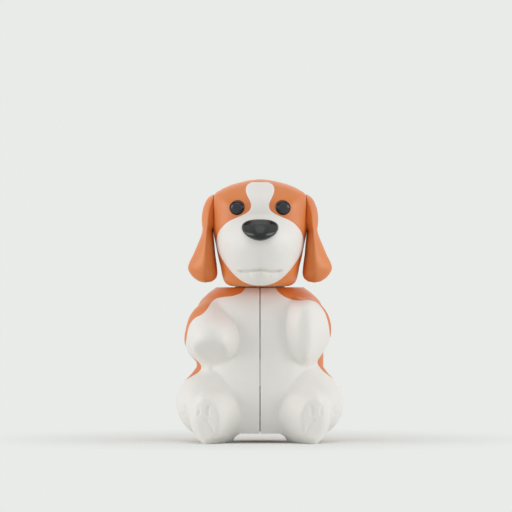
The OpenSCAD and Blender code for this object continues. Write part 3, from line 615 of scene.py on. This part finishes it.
# Each ear section: height from the soles, inner side, fold, outer side, front, and back.
EAR = [
    (84.3, 13.6, 15.6, 16.6, -24.5, -20.5), (83.4, 13.6, 16.2, 17.7, -27.0, -18.6),
    (82.0, 13.6, 16.8, 18.6, -28.8, -17.4), (79.5, 13.6, 17.6, 19.5, -30.4, -16.4),
    (76.5, 13.8, 18.1, 19.9, -31.3, -15.8), (74.3, 14.6, 18.2, 19.8, -31.7, -15.6),
    (72.5, 15.9, 18.3, 19.6, -32.0, -15.5), (70.5, 15.8, 18.5, 20.1, -32.3, -15.5),
    (67.4, 15.5, 18.8, 21.4, -32.6, -15.6), (64.0, 15.2, 19.0, 22.9, -32.6, -16.0),
    (61.2, 14.8, 19.2, 24.3, -32.4, -16.8), (59.4, 14.6, 19.4, 24.7, -32.0, -17.8),
    (57.6, 14.5, 19.5, 23.9, -31.2, -19.2), (56.0, 15.0, 19.4, 22.4, -29.8, -21.0),
    (54.9, 16.4, 18.8, 20.6, -27.8, -23.4),
]
# How far an ear's inner side sinks into the head, its least thickness where the head pushes it
# out, and how far its closing points stand below its lowest ring and above its highest.
EAR_SINK = 0.15
EAR_LEAST = 0.6
EAR_TIP = 0.35
EAR_TOP = 0.3
# The share by which its rings crowd at both ends.
RINGS_CROWD = 0.6


def ear_grid(s, rings=70, cuts=3):
    """Closed rings up an ear, each a seven sided outline with its corners cut round."""
    keys = np.array(EAR[::-1])
    z = crowded(keys[0, 0], keys[-1, 0], rings, RINGS_CROWD)
    side, fold, out, front, back = (curve(keys[:, [0, k]], z) for k in range(1, 6))
    depth = back - front
    loop = [
        (side, front + 0.24 * depth), (mix(side, fold, 0.7), front + 0.05 * depth), (fold, front),
        (mix(fold, out, 0.9), front + 0.3 * depth), (out, front + 0.62 * depth),
        (mix(side, out, 0.7), back), (side, back),
    ]
    ring = np.stack([np.stack(p, -1) for p in loop])
    for _ in range(cuts):
        after = np.roll(ring, -1, axis=0)
        ring = np.stack([0.75 * ring + 0.25 * after, 0.25 * ring + 0.75 * after], 1)
        ring = ring.reshape(-1, *ring.shape[2:])
    share = (ring[..., 0] - side) / (out - side)
    x = np.maximum(ring[..., 0], head_half(s, ring[..., 1], z) - EAR_SINK + EAR_LEAST * share)
    grid = np.stack([x, ring[..., 1], np.broadcast_to(z, x.shape)], -1)
    low = grid[:, 0].mean(0) - (0, 0, EAR_TIP)
    high = grid[:, -1].mean(0) + (0, 0, EAR_TOP)
    ends = [np.broadcast_to(p, (grid.shape[0], 3))[:, None] for p in (low, high)]
    return np.concatenate([ends[0], grid, ends[1]], axis=1)


def head_half(s, y, z, reach=0.6, halvings=16):
    """Half width of the head at a depth and a height, found by halving a share of its width."""
    m = np.where(y > HEAD_Y, BACK_POWER, HEAD_POWER)
    depth = np.minimum(np.abs(y - HEAD_Y) / (s.head_depth / 2), 1)
    most = (1 - depth ** m) ** (1 / m)
    low, high = np.zeros(most.shape), np.full(most.shape, reach * s.head_width)
    for _ in range(halvings):
        middle = (low + high) / 2
        inside = head_across(s, middle, z - head_z(s)) < most
        low, high = np.where(inside, middle, low), np.where(inside, high, middle)
    return low


def to_frame(points, side=1):
    """Millimetres from the soles to metres in the frame, mirrored for the left side."""
    return (np.asarray(points, float) * (side, 1, 1) + (0, 0, SOLES_Z)) * MM


def set_down(at, side):
    """The matrix from a turned shape's millimetres to its place in the frame."""
    return Matrix.Translation(to_frame(at, side).tolist()) @ Matrix.Scale(MM, 4)


def new_object(name, verts, faces):
    """A mesh object in the scene."""
    mesh = bpy.data.meshes.new(name)
    mesh.from_pydata([tuple(v) for v in verts], [], faces)
    mesh.validate()
    piece = bpy.data.objects.new(name, mesh)
    bpy.context.scene.collection.objects.link(piece)
    return piece


def grid_faces(columns, rows, wrap, base=0):
    """Quads of a grid whose points are numbered column by column, closed round if it wraps."""
    i = np.arange(columns if wrap else columns - 1)
    j = np.arange(rows - 1)
    i, j = np.meshgrid(i, j, indexing="ij")
    a = base + i * rows + j
    b = base + (i + 1) % columns * rows + j
    return np.stack([a, b, b + 1, a + 1], -1).reshape(-1, 4)


def strip_faces(a, b):
    """Quads between two rows of point numbers."""
    return np.stack([a[:-1], a[1:], b[1:], b[:-1]], -1)


def shade_crisp(piece, sharp):
    """Shades a piece smoothly, but keeps edges crisp that turn by more than an angle in degrees."""
    piece.data.shade_smooth()
    piece.data.set_sharp_from_angle(angle=math.radians(sharp))


def finish_mesh(piece, sharp):
    """Joins coinciding points, turns every face outwards and shades the piece."""
    work = bmesh.new()
    work.from_mesh(piece.data)
    bmesh.ops.remove_doubles(work, verts=work.verts, dist=1e-7)
    bmesh.ops.dissolve_degenerate(work, edges=work.edges, dist=1e-8)
    bmesh.ops.recalc_face_normals(work, faces=work.faces)
    work.to_mesh(piece.data)
    work.free()
    shade_crisp(piece, sharp)
    return piece


def join_meshes(into, other):
    """Adds another object's mesh to a piece and removes that object."""
    work = bmesh.new()
    work.from_mesh(into.data)
    work.from_mesh(other.data)
    work.to_mesh(into.data)
    work.free()
    bpy.data.objects.remove(other)


def shell_object(name, outer, inner, wrap=False):
    """A closed wall between two grids of one size."""
    n, m = outer.shape[:2]
    base = n * m
    faces = [grid_faces(n, m, wrap), grid_faces(n, m, wrap, base)[:, ::-1]]
    number = np.arange(base).reshape(n, m)
    rims = [number[:, 0], number[:, -1]]
    if wrap:
        rims = [np.append(rim, rim[0]) for rim in rims]
    faces += [strip_faces(rims[0] + base, rims[0]), strip_faces(rims[1], rims[1] + base)]
    if not wrap:
        first, last = number[0], number[-1]
        faces += [strip_faces(first, first + base), strip_faces(last + base, last)]
    verts = np.concatenate([outer.reshape(-1, 3), inner.reshape(-1, 3)])
    return new_object(name, verts, np.concatenate(faces).tolist())


def loft_object(name, grid):
    """A closed skin through rings whose first and last rows are single points."""
    n, m = grid.shape[:2]
    return new_object(name, grid.reshape(-1, 3), grid_faces(n, m, True).tolist())


def turned_object(name, profile, steps=48):
    """A solid turned about z from (radius, height) points, which start and end on the axis."""
    r, z = np.array(profile, float).T
    a = np.radians(np.linspace(0, 360, steps, endpoint=False))[:, None]
    grid = np.stack([r * np.cos(a), r * np.sin(a), np.broadcast_to(z, (steps, len(z)))], -1)
    return finish_mesh(loft_object(name, grid), sharp=38)


def cut_away(piece, cutter):
    """Takes the cutter's shape out of a piece for good."""
    step = piece.modifiers.new("cut", "BOOLEAN")
    step.object = cutter
    step.operation = "DIFFERENCE"
    step.solver = "EXACT"
    graph = bpy.context.evaluated_depsgraph_get()
    mesh = bpy.data.meshes.new_from_object(piece.evaluated_get(graph))
    piece.modifiers.clear()
    old = piece.data
    piece.data = mesh
    mesh.name = piece.name
    bpy.data.meshes.remove(old)
    bpy.data.objects.remove(cutter)


# The least share of an edge that a paint line cuts off, so that no face is a sliver.
LEAST_CUT = 0.02


def split_paint(piece, field, slot, skin):
    """Cuts faces along the zero line of a field and gives the positive side a material slot."""
    work = bmesh.new()
    work.from_mesh(piece.data)
    points = np.array([v.co for v in work.verts])
    value = dict(zip(work.verts, field(points)))
    on_skin = {f for f, keep in zip(work.faces, skin(work.faces)) if keep}
    crossing = [e for e in work.edges if value[e.verts[0]] * value[e.verts[1]] < 0
                and any(f in on_skin for f in e.link_faces)]
    marked = set()
    for edge in crossing:
        a, b = edge.verts
        t = min(max(value[a] / (value[a] - value[b]), LEAST_CUT), 1 - LEAST_CUT)
        _, vert = bmesh.utils.edge_split(edge, a, t)
        value[vert] = 0.0
        marked.add(vert)
    for face in list(work.faces):
        here = [v for v in face.verts if v in marked]
        if len(here) == 2:
            try:
                bmesh.utils.face_split(face, here[0], here[1])
            except ValueError:
                pass
    for face, keep in zip(work.faces, skin(work.faces)):
        if keep and sum(value[v] for v in face.verts) > 0:
            face.material_index = slot
    work.to_mesh(piece.data)
    work.free()


def linear(hexa):
    """An sRGB hex colour as linear red, green, blue and 1."""
    parts = [int(hexa[k:k + 2], 16) / 255 for k in (1, 3, 5)]
    return [c / 12.92 if c <= 0.04045 else ((c + 0.055) / 1.055) ** 2.4 for c in parts] + [1.0]


def empty_tree(holder):
    """The node tree of a material or a world, without its first nodes."""
    holder.use_nodes = True
    holder.node_tree.nodes.clear()
    return holder.node_tree


def add(tree, kind, at, values=None, links=None, **settings):
    """Adds a node with its settings, its socket values and the links into it."""
    node = tree.nodes.new(kind)
    node.location = at
    for name, value in settings.items():
        setattr(node, name, value)
    for socket, value in (values or {}).items():
        node.inputs[socket].default_value = value
    for socket, source in (links or {}).items():
        tree.links.new(source, node.inputs[socket])
    return node


def seen_directly(tree):
    """1 for what the camera sees itself, in a gloss or through a clear piece, and 0 for light."""
    path = add(tree, "ShaderNodeLightPath", (-900, 600))
    open_to = add(tree, "ShaderNodeMath", (-700, 600), operation="MAXIMUM",
                  links={0: path.outputs["Is Camera Ray"], 1: path.outputs["Is Glossy Ray"]})
    return add(tree, "ShaderNodeMath", (-500, 600), operation="MAXIMUM",
               links={0: open_to.outputs[0], 1: path.outputs["Is Transmission Ray"]}).outputs[0]


# The width of the drift in a moulding's colour, in millimetres, how much its gloss varies to each
# side, and the strength of its grain.
DRIFT_MM = 14
GLOSS_DRIFT = 0.05
GRAIN_STRENGTH = 0.35


def moulded(name, colour, shade, roughness, grain_mm, depth_mm, **surface):
    """A moulding or a coat: a faint drift in colour, and a fine grain in its gloss and bump."""
    material = bpy.data.materials.new(name)
    tree = empty_tree(material)
    where = add(tree, "ShaderNodeTexCoord", (-1100, 0))
    drift = add(tree, "ShaderNodeTexNoise", (-850, 250),
                {"Scale": 1 / (DRIFT_MM * MM), "Detail": 3.0}, {"Vector": where.outputs["Object"]})
    grain = add(tree, "ShaderNodeTexNoise", (-850, -150),
                {"Scale": 1 / (grain_mm * MM), "Detail": 2.0}, {"Vector": where.outputs["Object"]})
    tone = add(tree, "ShaderNodeValToRGB", (-600, 250), links={"Fac": drift.outputs["Fac"]})
    tone.color_ramp.elements[0].position = 0.3
    tone.color_ramp.elements[0].color = shade
    tone.color_ramp.elements[1].position = 0.7
    tone.color_ramp.elements[1].color = colour
    gloss = add(tree, "ShaderNodeMapRange", (-600, -50),
                {"To Min": roughness - GLOSS_DRIFT, "To Max": roughness + GLOSS_DRIFT},
                {"Value": grain.outputs["Fac"]})
    bump = add(tree, "ShaderNodeBump", (-600, -350),
               {"Strength": GRAIN_STRENGTH, "Distance": depth_mm * MM},
               {"Height": grain.outputs["Fac"]})
    shader = add(tree, "ShaderNodeBsdfPrincipled", (-250, 100), surface,
                 {"Base Color": tone.outputs["Color"], "Roughness": gloss.outputs["Result"],
                  "Normal": bump.outputs["Normal"]})
    add(tree, "ShaderNodeOutputMaterial", (50, 100), links={"Surface": shader.outputs["BSDF"]})
    return material


def coat_abs(c):
    """ABS under a sprayed satin coat: an even, warm colour whose highlights are wide and soft."""
    return moulded("ABS sprayed satin orange", c.coat, c.coat_shade,
                   roughness=0.46, grain_mm=0.7, depth_mm=0.02, IOR=1.6)


def body_abs(c):
    """White ABS from a fine blasted mould: almost matt, so its form shows in soft greys."""
    return moulded("ABS moulded satin white", c.body, c.body_shade,
                   roughness=0.55, grain_mm=0.6, depth_mm=0.015, IOR=1.53)


def inner_acetal(c):
    """Natural acetal straight from the mould: a milky white with a slightly waxy gloss."""
    return moulded("Acetal moulded natural", c.inner, c.inner_shade,
                   roughness=0.42, grain_mm=1.2, depth_mm=0.02, IOR=1.48)


def nose_abs(c):
    """Charcoal ABS from a polished mould: a clear, slightly spread reflection of the lights."""
    return moulded("ABS polished charcoal", c.nose, c.nose_shade,
                   roughness=0.26, grain_mm=2.5, depth_mm=0.01, IOR=1.48)


def eye_abs(c):
    """Black ABS from a polished mould: a sharp highlight on an almost black bead."""
    return moulded("ABS polished black", c.eye, c.eye_shade,
                   roughness=0.16, grain_mm=3.0, depth_mm=0.005, IOR=1.42)


def lens_abs(c):
    """Smoky ABS from a polished mould: the eye's dome, a shade lighter than the rim round it."""
    return moulded("ABS polished smoky", c.lens, c.lens_shade,
                   roughness=0.2, grain_mm=3.0, depth_mm=0.005, IOR=1.45)


def zinc_steel(c):
    """Zinc plated steel, turned: a grey metal whose fine grain breaks up its reflections."""
    return moulded("Steel zinc plated turned", c.steel, c.steel_shade,
                   roughness=0.34, grain_mm=0.4, depth_mm=0.01, Metallic=1.0)


def grip_elastomer(c):
    """Moulded thermoplastic elastomer: dull and grippy, with no clear reflections."""
    return moulded("Elastomer moulded grey", c.grip, c.grip_shade,
                   roughness=0.72, grain_mm=0.5, depth_mm=0.03, IOR=1.5)


def cup_pvc(c):
    """Clear soft PVC: glossy, partly showing what is behind it and otherwise milky."""
    return moulded("PVC clear soft", c.cup, c.cup_shade,
                   roughness=0.12, grain_mm=4.0, depth_mm=0.02, IOR=1.54,
                   **{"Transmission Weight": 0.4})


def size(name, about, default):
    """A length given in millimetres and kept in metres."""
    return FloatProperty(name=name, description=about, default=default * MM, min=0.0, precision=4,
                         subtype="DISTANCE", unit="LENGTH")


def hue(name, about, default):
    """A colour given as sRGB hex and kept as linear values."""
    return FloatVectorProperty(name=name, description=about, default=linear(default), size=4,
                               subtype="COLOR", min=0.0, max=1.0)


def millimetres(context):
    """The cover's sizes as plain numbers in millimetres."""
    group = context.scene.cover_sizes
    return SimpleNamespace(**{name: getattr(group, name) / MM for name in group.__annotations__})


class CoverSizes(bpy.types.PropertyGroup):
    """Sizes of the cover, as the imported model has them."""

    body_height: size("Body height", "From the soles to the top of the doors", 52.9)
    torso_width: size("Torso width", "Where the doors meet the rear shell", 43.0)
    belly_depth: size("Belly depth", "In front of the hinge line", 23.0)
    shell_wall: size("Shell wall", "Wall of every moulded shell", 1.8)
    split_gap: size("Split gap", "Between the two doors", 0.3)
    head_height: size("Head height", "From the doors to the crown", 36.4)
    head_width: size("Head width", "Without the ears", 32.3)
    head_depth: size("Head depth", "Without the muzzle", 32.0)
    muzzle_width: size("Muzzle width", "Across the white muzzle", 29.6)
    muzzle_height: size("Muzzle height", "From the chin to the stop", 26.8)
    muzzle_depth: size("Muzzle depth", "How far it stands out", 6.5)
    eye_diameter: size("Eye diameter", "Across the bead", 5.1)
    eye_spacing: size("Eye spacing", "Between the middles of the eyes", 15.6)
    nose_width: size("Nose width", "Across the nostrils", 12.4)
    nose_height: size("Nose height", "From its top to its point", 7.3)


class CoverColours(bpy.types.PropertyGroup):
    """Colours of the finishes, each with the shade that it drifts to."""

    coat: hue("Coat", "Orange coat", "#E0823F")
    coat_shade: hue("Coat shade", "Darker orange", "#DC7C3A")
    body: hue("Body", "White body", "#EFECE8")
    body_shade: hue("Body shade", "Darker white", "#EAE7E2")
    inner: hue("Inner", "Moulded inner pieces", "#ECEBE6")
    inner_shade: hue("Inner shade", "Darker inner white", "#E4E3DC")
    nose: hue("Nose", "Charcoal nose", "#131616")
    nose_shade: hue("Nose shade", "Darker charcoal", "#121515")
    eye: hue("Eye", "Black eyes", "#17181A")
    eye_shade: hue("Eye shade", "Deeper black", "#131416")
    lens: hue("Lens", "Smoky domes of the eyes", "#2E2F36")
    lens_shade: hue("Lens shade", "Deeper smoky", "#292A30")
    steel: hue("Steel", "Zinc plated steel", "#B9BCC0")
    steel_shade: hue("Steel shade", "Darker steel", "#A6AAAE")
    grip: hue("Grip", "Soft clip", "#B9BDBF")
    grip_shade: hue("Grip shade", "Darker clip", "#AFB3B5")
    cup: hue("Cup", "Clear cup", "#E9F3F2")
    cup_shade: hue("Cup shade", "Clear cup's shade", "#DFEDEC")
    backdrop: hue("Backdrop", "Floor and background", "#E9EBE8")


def finish_of(make):
    """The one material that a making function gives, made when first asked for."""
    key = "cover_" + make.__name__
    for material in bpy.data.materials:
        if material.get("finish") == key:
            return material
    material = make(bpy.context.scene.cover_colours)
    material["finish"] = key
    return material


def dress(piece, *finishes):
    """Gives a piece its finishes, in the order of its material slots."""
    for make in finishes:
        piece.data.materials.append(finish_of(make))


def settle(piece, body, node):
    """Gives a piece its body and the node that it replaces."""
    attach(piece, body)
    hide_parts(node)


# How far a cutter's flat ends stand outside what it cuts.
CUT_PAST = 0.3


def turret_cutter(s, side):
    """The room that a door leaves for the round ends of the rear shell's floor and roof."""
    parts = []
    for low in (FLOOR_Z, s.body_height - s.shell_wall):
        high = low + s.shell_wall
        z = np.linspace(low, high, 7)
        r = rear_radius(s, z) + LAP_GAP
        profile = [(0, low - CUT_PAST), (r[0], low - CUT_PAST), *zip(r, z)]
        profile += [(r[-1], high + CUT_PAST), (0, high + CUT_PAST)]
        part = turned_object("cutter", profile, 64)
        part.data.transform(set_down((hinge_x(s), HINGE_Y, 0), side))
        parts.append(part)
    join_meshes(*parts)
    return parts[0]


class MESH_OT_cover_doors(bpy.types.Operator):
    """Make the two halves of the body, with their limbs and their painted coat"""

    bl_idname = "mesh.cover_doors"
    bl_label = "Doors"

    def execute(self, context):
        s = millimetres(context)
        for side, name, arm, coat, rear in ((1, "right", RIGHT_ARM, RIGHT_COAT, RIGHT_REAR),
                                            (-1, "left", LEFT_ARM, LEFT_COAT, LEFT_REAR)):
            outer, inner = (to_frame(grid, side) for grid in door_grids(s, LEGS + arm))
            piece = finish_mesh(shell_object(name + "_body_half", outer, inner), sharp=50)
            dress(piece, body_abs, coat_abs)
            self.paint(s, piece, coat, rear)
            cut_away(piece, turret_cutter(s, side))
            shade_crisp(piece, sharp=50)
            settle(piece, name + "_door", name + "_door_shell")
        return {"FINISHED"}

    def paint(self, s, piece, coat, rear):
        """Paints the orange coat on a door's outer skin and on its rear edge."""

        def polar(points):
            """Azimuth in degrees, radius and height of points in the frame."""
            p = points / MM - (0, 0, SOLES_Z)
            x = np.abs(p[:, 0]) - s.split_gap / 2
            y = p[:, 1] - HINGE_Y
            return np.degrees(np.arctan2(y, x)), np.hypot(x, y), p[:, 2]

        def field(points):
            """Above 0 where the coat is: behind its rear line or above its shoulder line."""
            a, _, z = polar(points)
            shoulder = DEGREES_PER_MM * (z - curve(coat, np.abs(points[:, 0]) / MM))
            return np.maximum(a - curve(rear, z), shoulder)

        def skin(faces):
            """Whether each face is on the outside of the wall or on its rear edge."""
            a, r, z = polar(np.array([f.calc_center_median() for f in faces]))
            height = np.clip(z, 0, s.body_height)
            wall = torso_radius(s, np.radians(a), height, s.shell_wall / 2)
            return (r > wall) | (a > REAR_EDGE)

        split_paint(piece, field, 1, skin)


# An eye is a little less tall than wide, and faces outwards and upwards by these angles.
EYE_TALL = 0.92
EYE_OUT = 14
EYE_UP = 10
# The gap round an eye in its socket, the heights between which that is cut, how deep the eye goes
# in, the rim round its dome as (distance in from its edge, height) points, and the dome's rise.
EYE_FIT = 0.08
SOCKET_CUT = (-3, 6)
EYE_ROOT = -1.5
EYE_RIM = [(0, 0.35), (0.12, 0.5), (0.3, 0.48), (0.38, 0.42)]
EYE_DOME = 0.95


def eye_matrix(s, side):
    """The matrix from an eye's millimetres, with z out of the head, to its place in the frame."""
    x, z = s.eye_spacing / 2, on_head(s, EYES_AT)
    y = float(head_front_y(s, np.array(x), np.array(z)))
    out = Matrix.Rotation(math.radians(side * EYE_OUT), 4, "Z")
    up = Matrix.Rotation(math.radians(90 + EYE_UP), 4, "X")
    return set_down((x, y, z), side) @ out @ up @ Matrix.Diagonal((1, EYE_TALL, 1, 1))


class MESH_OT_cover_head(bpy.types.Operator):
    """Make the two shells of the head, with sockets for the eyes"""

    bl_idname = "mesh.cover_head"
    bl_label = "Head"

    def execute(self, context):
        s = millimetres(context)
        for face, name in ((1, "head_front"), (-1, "head_back")):
            outer, inner = (to_frame(head_grid(s, face, inset)) for inset in (0.0, s.shell_wall))
            piece = finish_mesh(shell_object(name + "_shell", outer, inner, wrap=True), sharp=40)
            if face > 0:
                self.sockets(s, piece)
            dress(piece, coat_abs)
            settle(piece, "base", name)
        return {"FINISHED"}

    def sockets(self, s, piece):
        """Cuts the two round sockets that the eyes sit in."""
        r = s.eye_diameter / 2 + EYE_FIT
        low, high = SOCKET_CUT
        for side in (1, -1):
            cutter = turned_object("cutter", [(0, low), (r, low), (r, high), (0, high)])
            cutter.data.transform(eye_matrix(s, side))
            cut_away(piece, cutter)
        shade_crisp(piece, sharp=40)


class MESH_OT_cover_face(bpy.types.Operator):
    """Make the white face piece with its muzzle, mouth and blaze, and the nose on it"""

    bl_idname = "mesh.cover_face"
    bl_label = "Face and nose"

    def execute(self, context):
        s = millimetres(context)
        front, back = (to_frame(grid) for grid in face_grids(s))
        mask = finish_mesh(shell_object("face_mask", front, back), sharp=60)
        dress(mask, body_abs)
        settle(mask, "base", "face_piece")
        front, back = (to_frame(nose_grid(s, is_back)) for is_back in (False, True))
        tip = finish_mesh(shell_object("nose_tip", front, back, wrap=True), sharp=60)
        dress(tip, nose_abs)
        settle(tip, "base", "nose")
        return {"FINISHED"}


class MESH_OT_cover_eyes(bpy.types.Operator):
    """Make the two glossy eyes, each a low dome with a fine rim"""

    bl_idname = "mesh.cover_eyes"
    bl_label = "Eyes"

    def execute(self, context):
        s = millimetres(context)
        r = s.eye_diameter / 2
        lens_r, lens_z = r - EYE_RIM[-1][0], EYE_RIM[-1][1]
        profile = [(0, EYE_ROOT), (r, EYE_ROOT)] + [(r - inwards, z) for inwards, z in EYE_RIM]
        profile += [(lens_r * math.cos(t), lens_z + EYE_DOME * math.sin(t))
                    for t in np.radians(np.arange(6, 85, 6))]
        profile += [(0, lens_z + EYE_DOME)]
        for side, name in ((1, "right"), (-1, "left")):
            piece = turned_object(name + "_eye_bead", profile, 64)
            for face in piece.data.polygons:
                face.material_index = int(face.center.xy.length < lens_r and face.center.z > 0)
            piece.data.transform(eye_matrix(s, side))
            dress(piece, eye_abs, lens_abs)
            settle(piece, "base", name + "_eye")
        return {"FINISHED"}


class MESH_OT_cover_ears(bpy.types.Operator):
    """Make the two hanging ears, each with a fold down its front"""

    bl_idname = "mesh.cover_ears"
    bl_label = "Ears"

    def execute(self, context):
        grid = ear_grid(millimetres(context))
        for side, name in ((1, "right"), (-1, "left")):
            flap = finish_mesh(loft_object(name + "_ear_flap", to_frame(grid, side)), sharp=60)
            dress(flap, coat_abs)
            settle(flap, "base", name + "_ear")
        return {"FINISHED"}


class MATERIAL_OT_cover_frame(bpy.types.Operator):
    """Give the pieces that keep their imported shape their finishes"""

    bl_idname = "material.cover_frame"
    bl_label = "Frame finishes"

    def execute(self, context):
        looks = {
            coat_abs: ["rear_shell"],
            inner_acetal: ["chassis", "left_door_liner", "right_door_liner", "brush_carriage"],
            zinc_steel: ["chassis_screws", "head_screws", "left_hinge_pin", "right_hinge_pin"],
            grip_elastomer: ["neck_grip"],
            cup_pvc: ["suction_cup"],
        }
        for make, nodes in looks.items():
            for node in nodes:
                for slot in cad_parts[node].material_slots:
                    slot.material = finish_of(make)
        return {"FINISHED"}


# The studio, in metres. The floor is a disc of rings that widen outwards, and from one distance
# from its middle to another it fades into the background.
FLOOR_RADIUS = 2.5
FLOOR_RINGS = 39
FLOOR_SPOKES = 72
FLOOR_MIDDLE_Y = -0.02
FLOOR_FADE = {"From Min": 0.03, "From Max": 0.12}
# Even light from all round, which the camera doesn't see as such.
FILL_LIGHT = 0.57
# Each softbox: its name, where it stands, what it is aimed at, its width and its power in watts.
SOFTBOXES = [
    ("softbox left", (-0.62, -0.15, 0.07), (0, -0.03, 0), 0.42, 1.75),
    ("softbox right", (0.62, -0.15, 0.07), (0, -0.03, 0), 0.42, 1.75),
    ("softbox top", (0, -0.2, 0.6), (0, -0.02, 0), 0.5, 0.7),
    ("softbox rear", (0, 0.6, 0.35), (0, -0.02, 0), 0.5, 0.5),
]
# The camera looks level along +Y. What it shows at a distance is this wide.
CAMERA_AT = (-0.00136, -1.625, 0.0306)
CAMERA_DISTANCE = 1.6
VIEW_WIDTH = 0.1741
SENSOR_MM = 36.0


class OBJECT_OT_cover_studio(bpy.types.Operator):
    """Make the floor, the background, the lamps and the camera"""

    bl_idname = "object.cover_studio"
    bl_label = "Studio"

    def execute(self, context):
        pale = context.scene.cover_colours.backdrop
        self.world(context, pale)
        self.floor(pale)
        self.lamps(context)
        self.camera(context)
        context.scene.view_settings.view_transform = "Standard"
        return {"FINISHED"}

    def world(self, context, pale):
        """A pale background, and even light of another strength."""
        world = bpy.data.worlds.new("Studio")
        tree = empty_tree(world)
        fill = add(tree, "ShaderNodeBackground", (-400, 0),
                   {"Color": (1, 1, 1, 1), "Strength": FILL_LIGHT})
        shown = add(tree, "ShaderNodeBackground", (-400, -150), {"Color": pale, "Strength": 1.0})
        both = add(tree, "ShaderNodeMixShader", (-150, 0), links={
            0: seen_directly(tree), 1: fill.outputs[0], 2: shown.outputs[0]})
        add(tree, "ShaderNodeOutputWorld", (50, 0), links={"Surface": both.outputs[0]})
        context.scene.world = world

    def floor(self, pale):
        """A round board under the soles, which fades into the background."""
        n = FLOOR_SPOKES
        rings = np.linspace(0, 1, FLOOR_RINGS + 1)[1:] ** 2 * FLOOR_RADIUS
        spokes = np.radians(np.linspace(0, 360, n, endpoint=False))
        verts = [(0, 0, 0)] + [(r * math.cos(t), r * math.sin(t), 0) for r in rings for t in spokes]
        faces = [(0, 1 + k, 1 + (k + 1) % n) for k in range(n)]
        for b in range(1, 1 + (FLOOR_RINGS - 1) * n, n):
            faces += [(b + k, b + n + k, b + n + (k + 1) % n, b + (k + 1) % n) for k in range(n)]
        at = (0, FLOOR_MIDDLE_Y, CAD_LOW[2])
        floor = new_object("studio_floor", np.array(verts) + at, faces)
        floor.data.materials.append(self.board(pale))

    def board(self, pale):
        """Matt white paint that takes shadows near the object and glows evenly further out."""
        material = bpy.data.materials.new("Board painted matt")
        tree = empty_tree(material)
        where = add(tree, "ShaderNodeTexCoord", (-900, 0))
        far = add(tree, "ShaderNodeVectorMath", (-700, 0), links={0: where.outputs["Object"]},
                  operation="LENGTH")
        fade = add(tree, "ShaderNodeMapRange", (-500, 0), FLOOR_FADE,
                   {"Value": far.outputs["Value"]}, interpolation_type="SMOOTHSTEP")
        shown = add(tree, "ShaderNodeMath", (-300, 150), operation="MULTIPLY",
                    links={0: fade.outputs["Result"], 1: seen_directly(tree)})
        matt = add(tree, "ShaderNodeBsdfDiffuse", (-500, 250), {"Color": pale})
        glow = add(tree, "ShaderNodeEmission", (-500, -250), {"Color": pale, "Strength": 1.0})
        both = add(tree, "ShaderNodeMixShader", (-100, 0), links={
            0: shown.outputs[0], 1: matt.outputs[0], 2: glow.outputs[0]})
        add(tree, "ShaderNodeOutputMaterial", (0, 0), links={"Surface": both.outputs[0]})
        return material

    def lamps(self, context):
        """Two wide softboxes at the sides and two weaker ones above and behind."""
        for name, at, aim, width, power in SOFTBOXES:
            lamp = bpy.data.lights.new(name, "AREA")
            lamp.size = width
            lamp.energy = power
            holder = bpy.data.objects.new(name, lamp)
            context.scene.collection.objects.link(holder)
            holder.location = at
            holder.rotation_euler = (Vector(aim) - Vector(at)).to_track_quat("-Z", "Y").to_euler()

    def camera(self, context):
        """A long lens in front of the object, level with its middle."""
        data = bpy.data.cameras.new("camera")
        data.sensor_width = SENSOR_MM
        data.lens = SENSOR_MM * CAMERA_DISTANCE / VIEW_WIDTH
        camera = bpy.data.objects.new("camera", data)
        context.scene.collection.objects.link(camera)
        camera.location = CAMERA_AT
        camera.rotation_euler = (math.radians(90), 0, 0)
        context.scene.camera = camera


class VIEW3D_PT_cover(bpy.types.Panel):
    """The cover's sizes, colours and steps"""

    bl_label = "Toothbrush cover"
    bl_space_type = "VIEW_3D"
    bl_region_type = "UI"
    bl_category = "Cover"

    def draw(self, context):
        layout = self.layout
        for group in (context.scene.cover_sizes, context.scene.cover_colours):
            box = layout.box()
            for name in group.__annotations__:
                box.prop(group, name)
        for step in STEPS:
            layout.operator(step.bl_idname)


STEPS = [MESH_OT_cover_doors, MESH_OT_cover_head, MESH_OT_cover_face, MESH_OT_cover_eyes,
         MESH_OT_cover_ears, MATERIAL_OT_cover_frame, OBJECT_OT_cover_studio]
CLASSES = [CoverSizes, CoverColours, *STEPS, VIEW3D_PT_cover]


def register():
    """Adds the cover's classes and puts its sizes and colours on the scene."""
    for part in CLASSES:
        bpy.utils.register_class(part)
    bpy.types.Scene.cover_sizes = PointerProperty(type=CoverSizes)
    bpy.types.Scene.cover_colours = PointerProperty(type=CoverColours)


def unregister():
    """Takes back all that register() adds."""
    del bpy.types.Scene.cover_colours
    del bpy.types.Scene.cover_sizes
    for part in reversed(CLASSES):
        bpy.utils.unregister_class(part)


def main():
    """Builds every piece and the studio."""
    register()
    for step in STEPS:
        group, name = step.bl_idname.split(".")
        getattr(getattr(bpy.ops, group), name)()


if __name__ == "__main__":
    main()
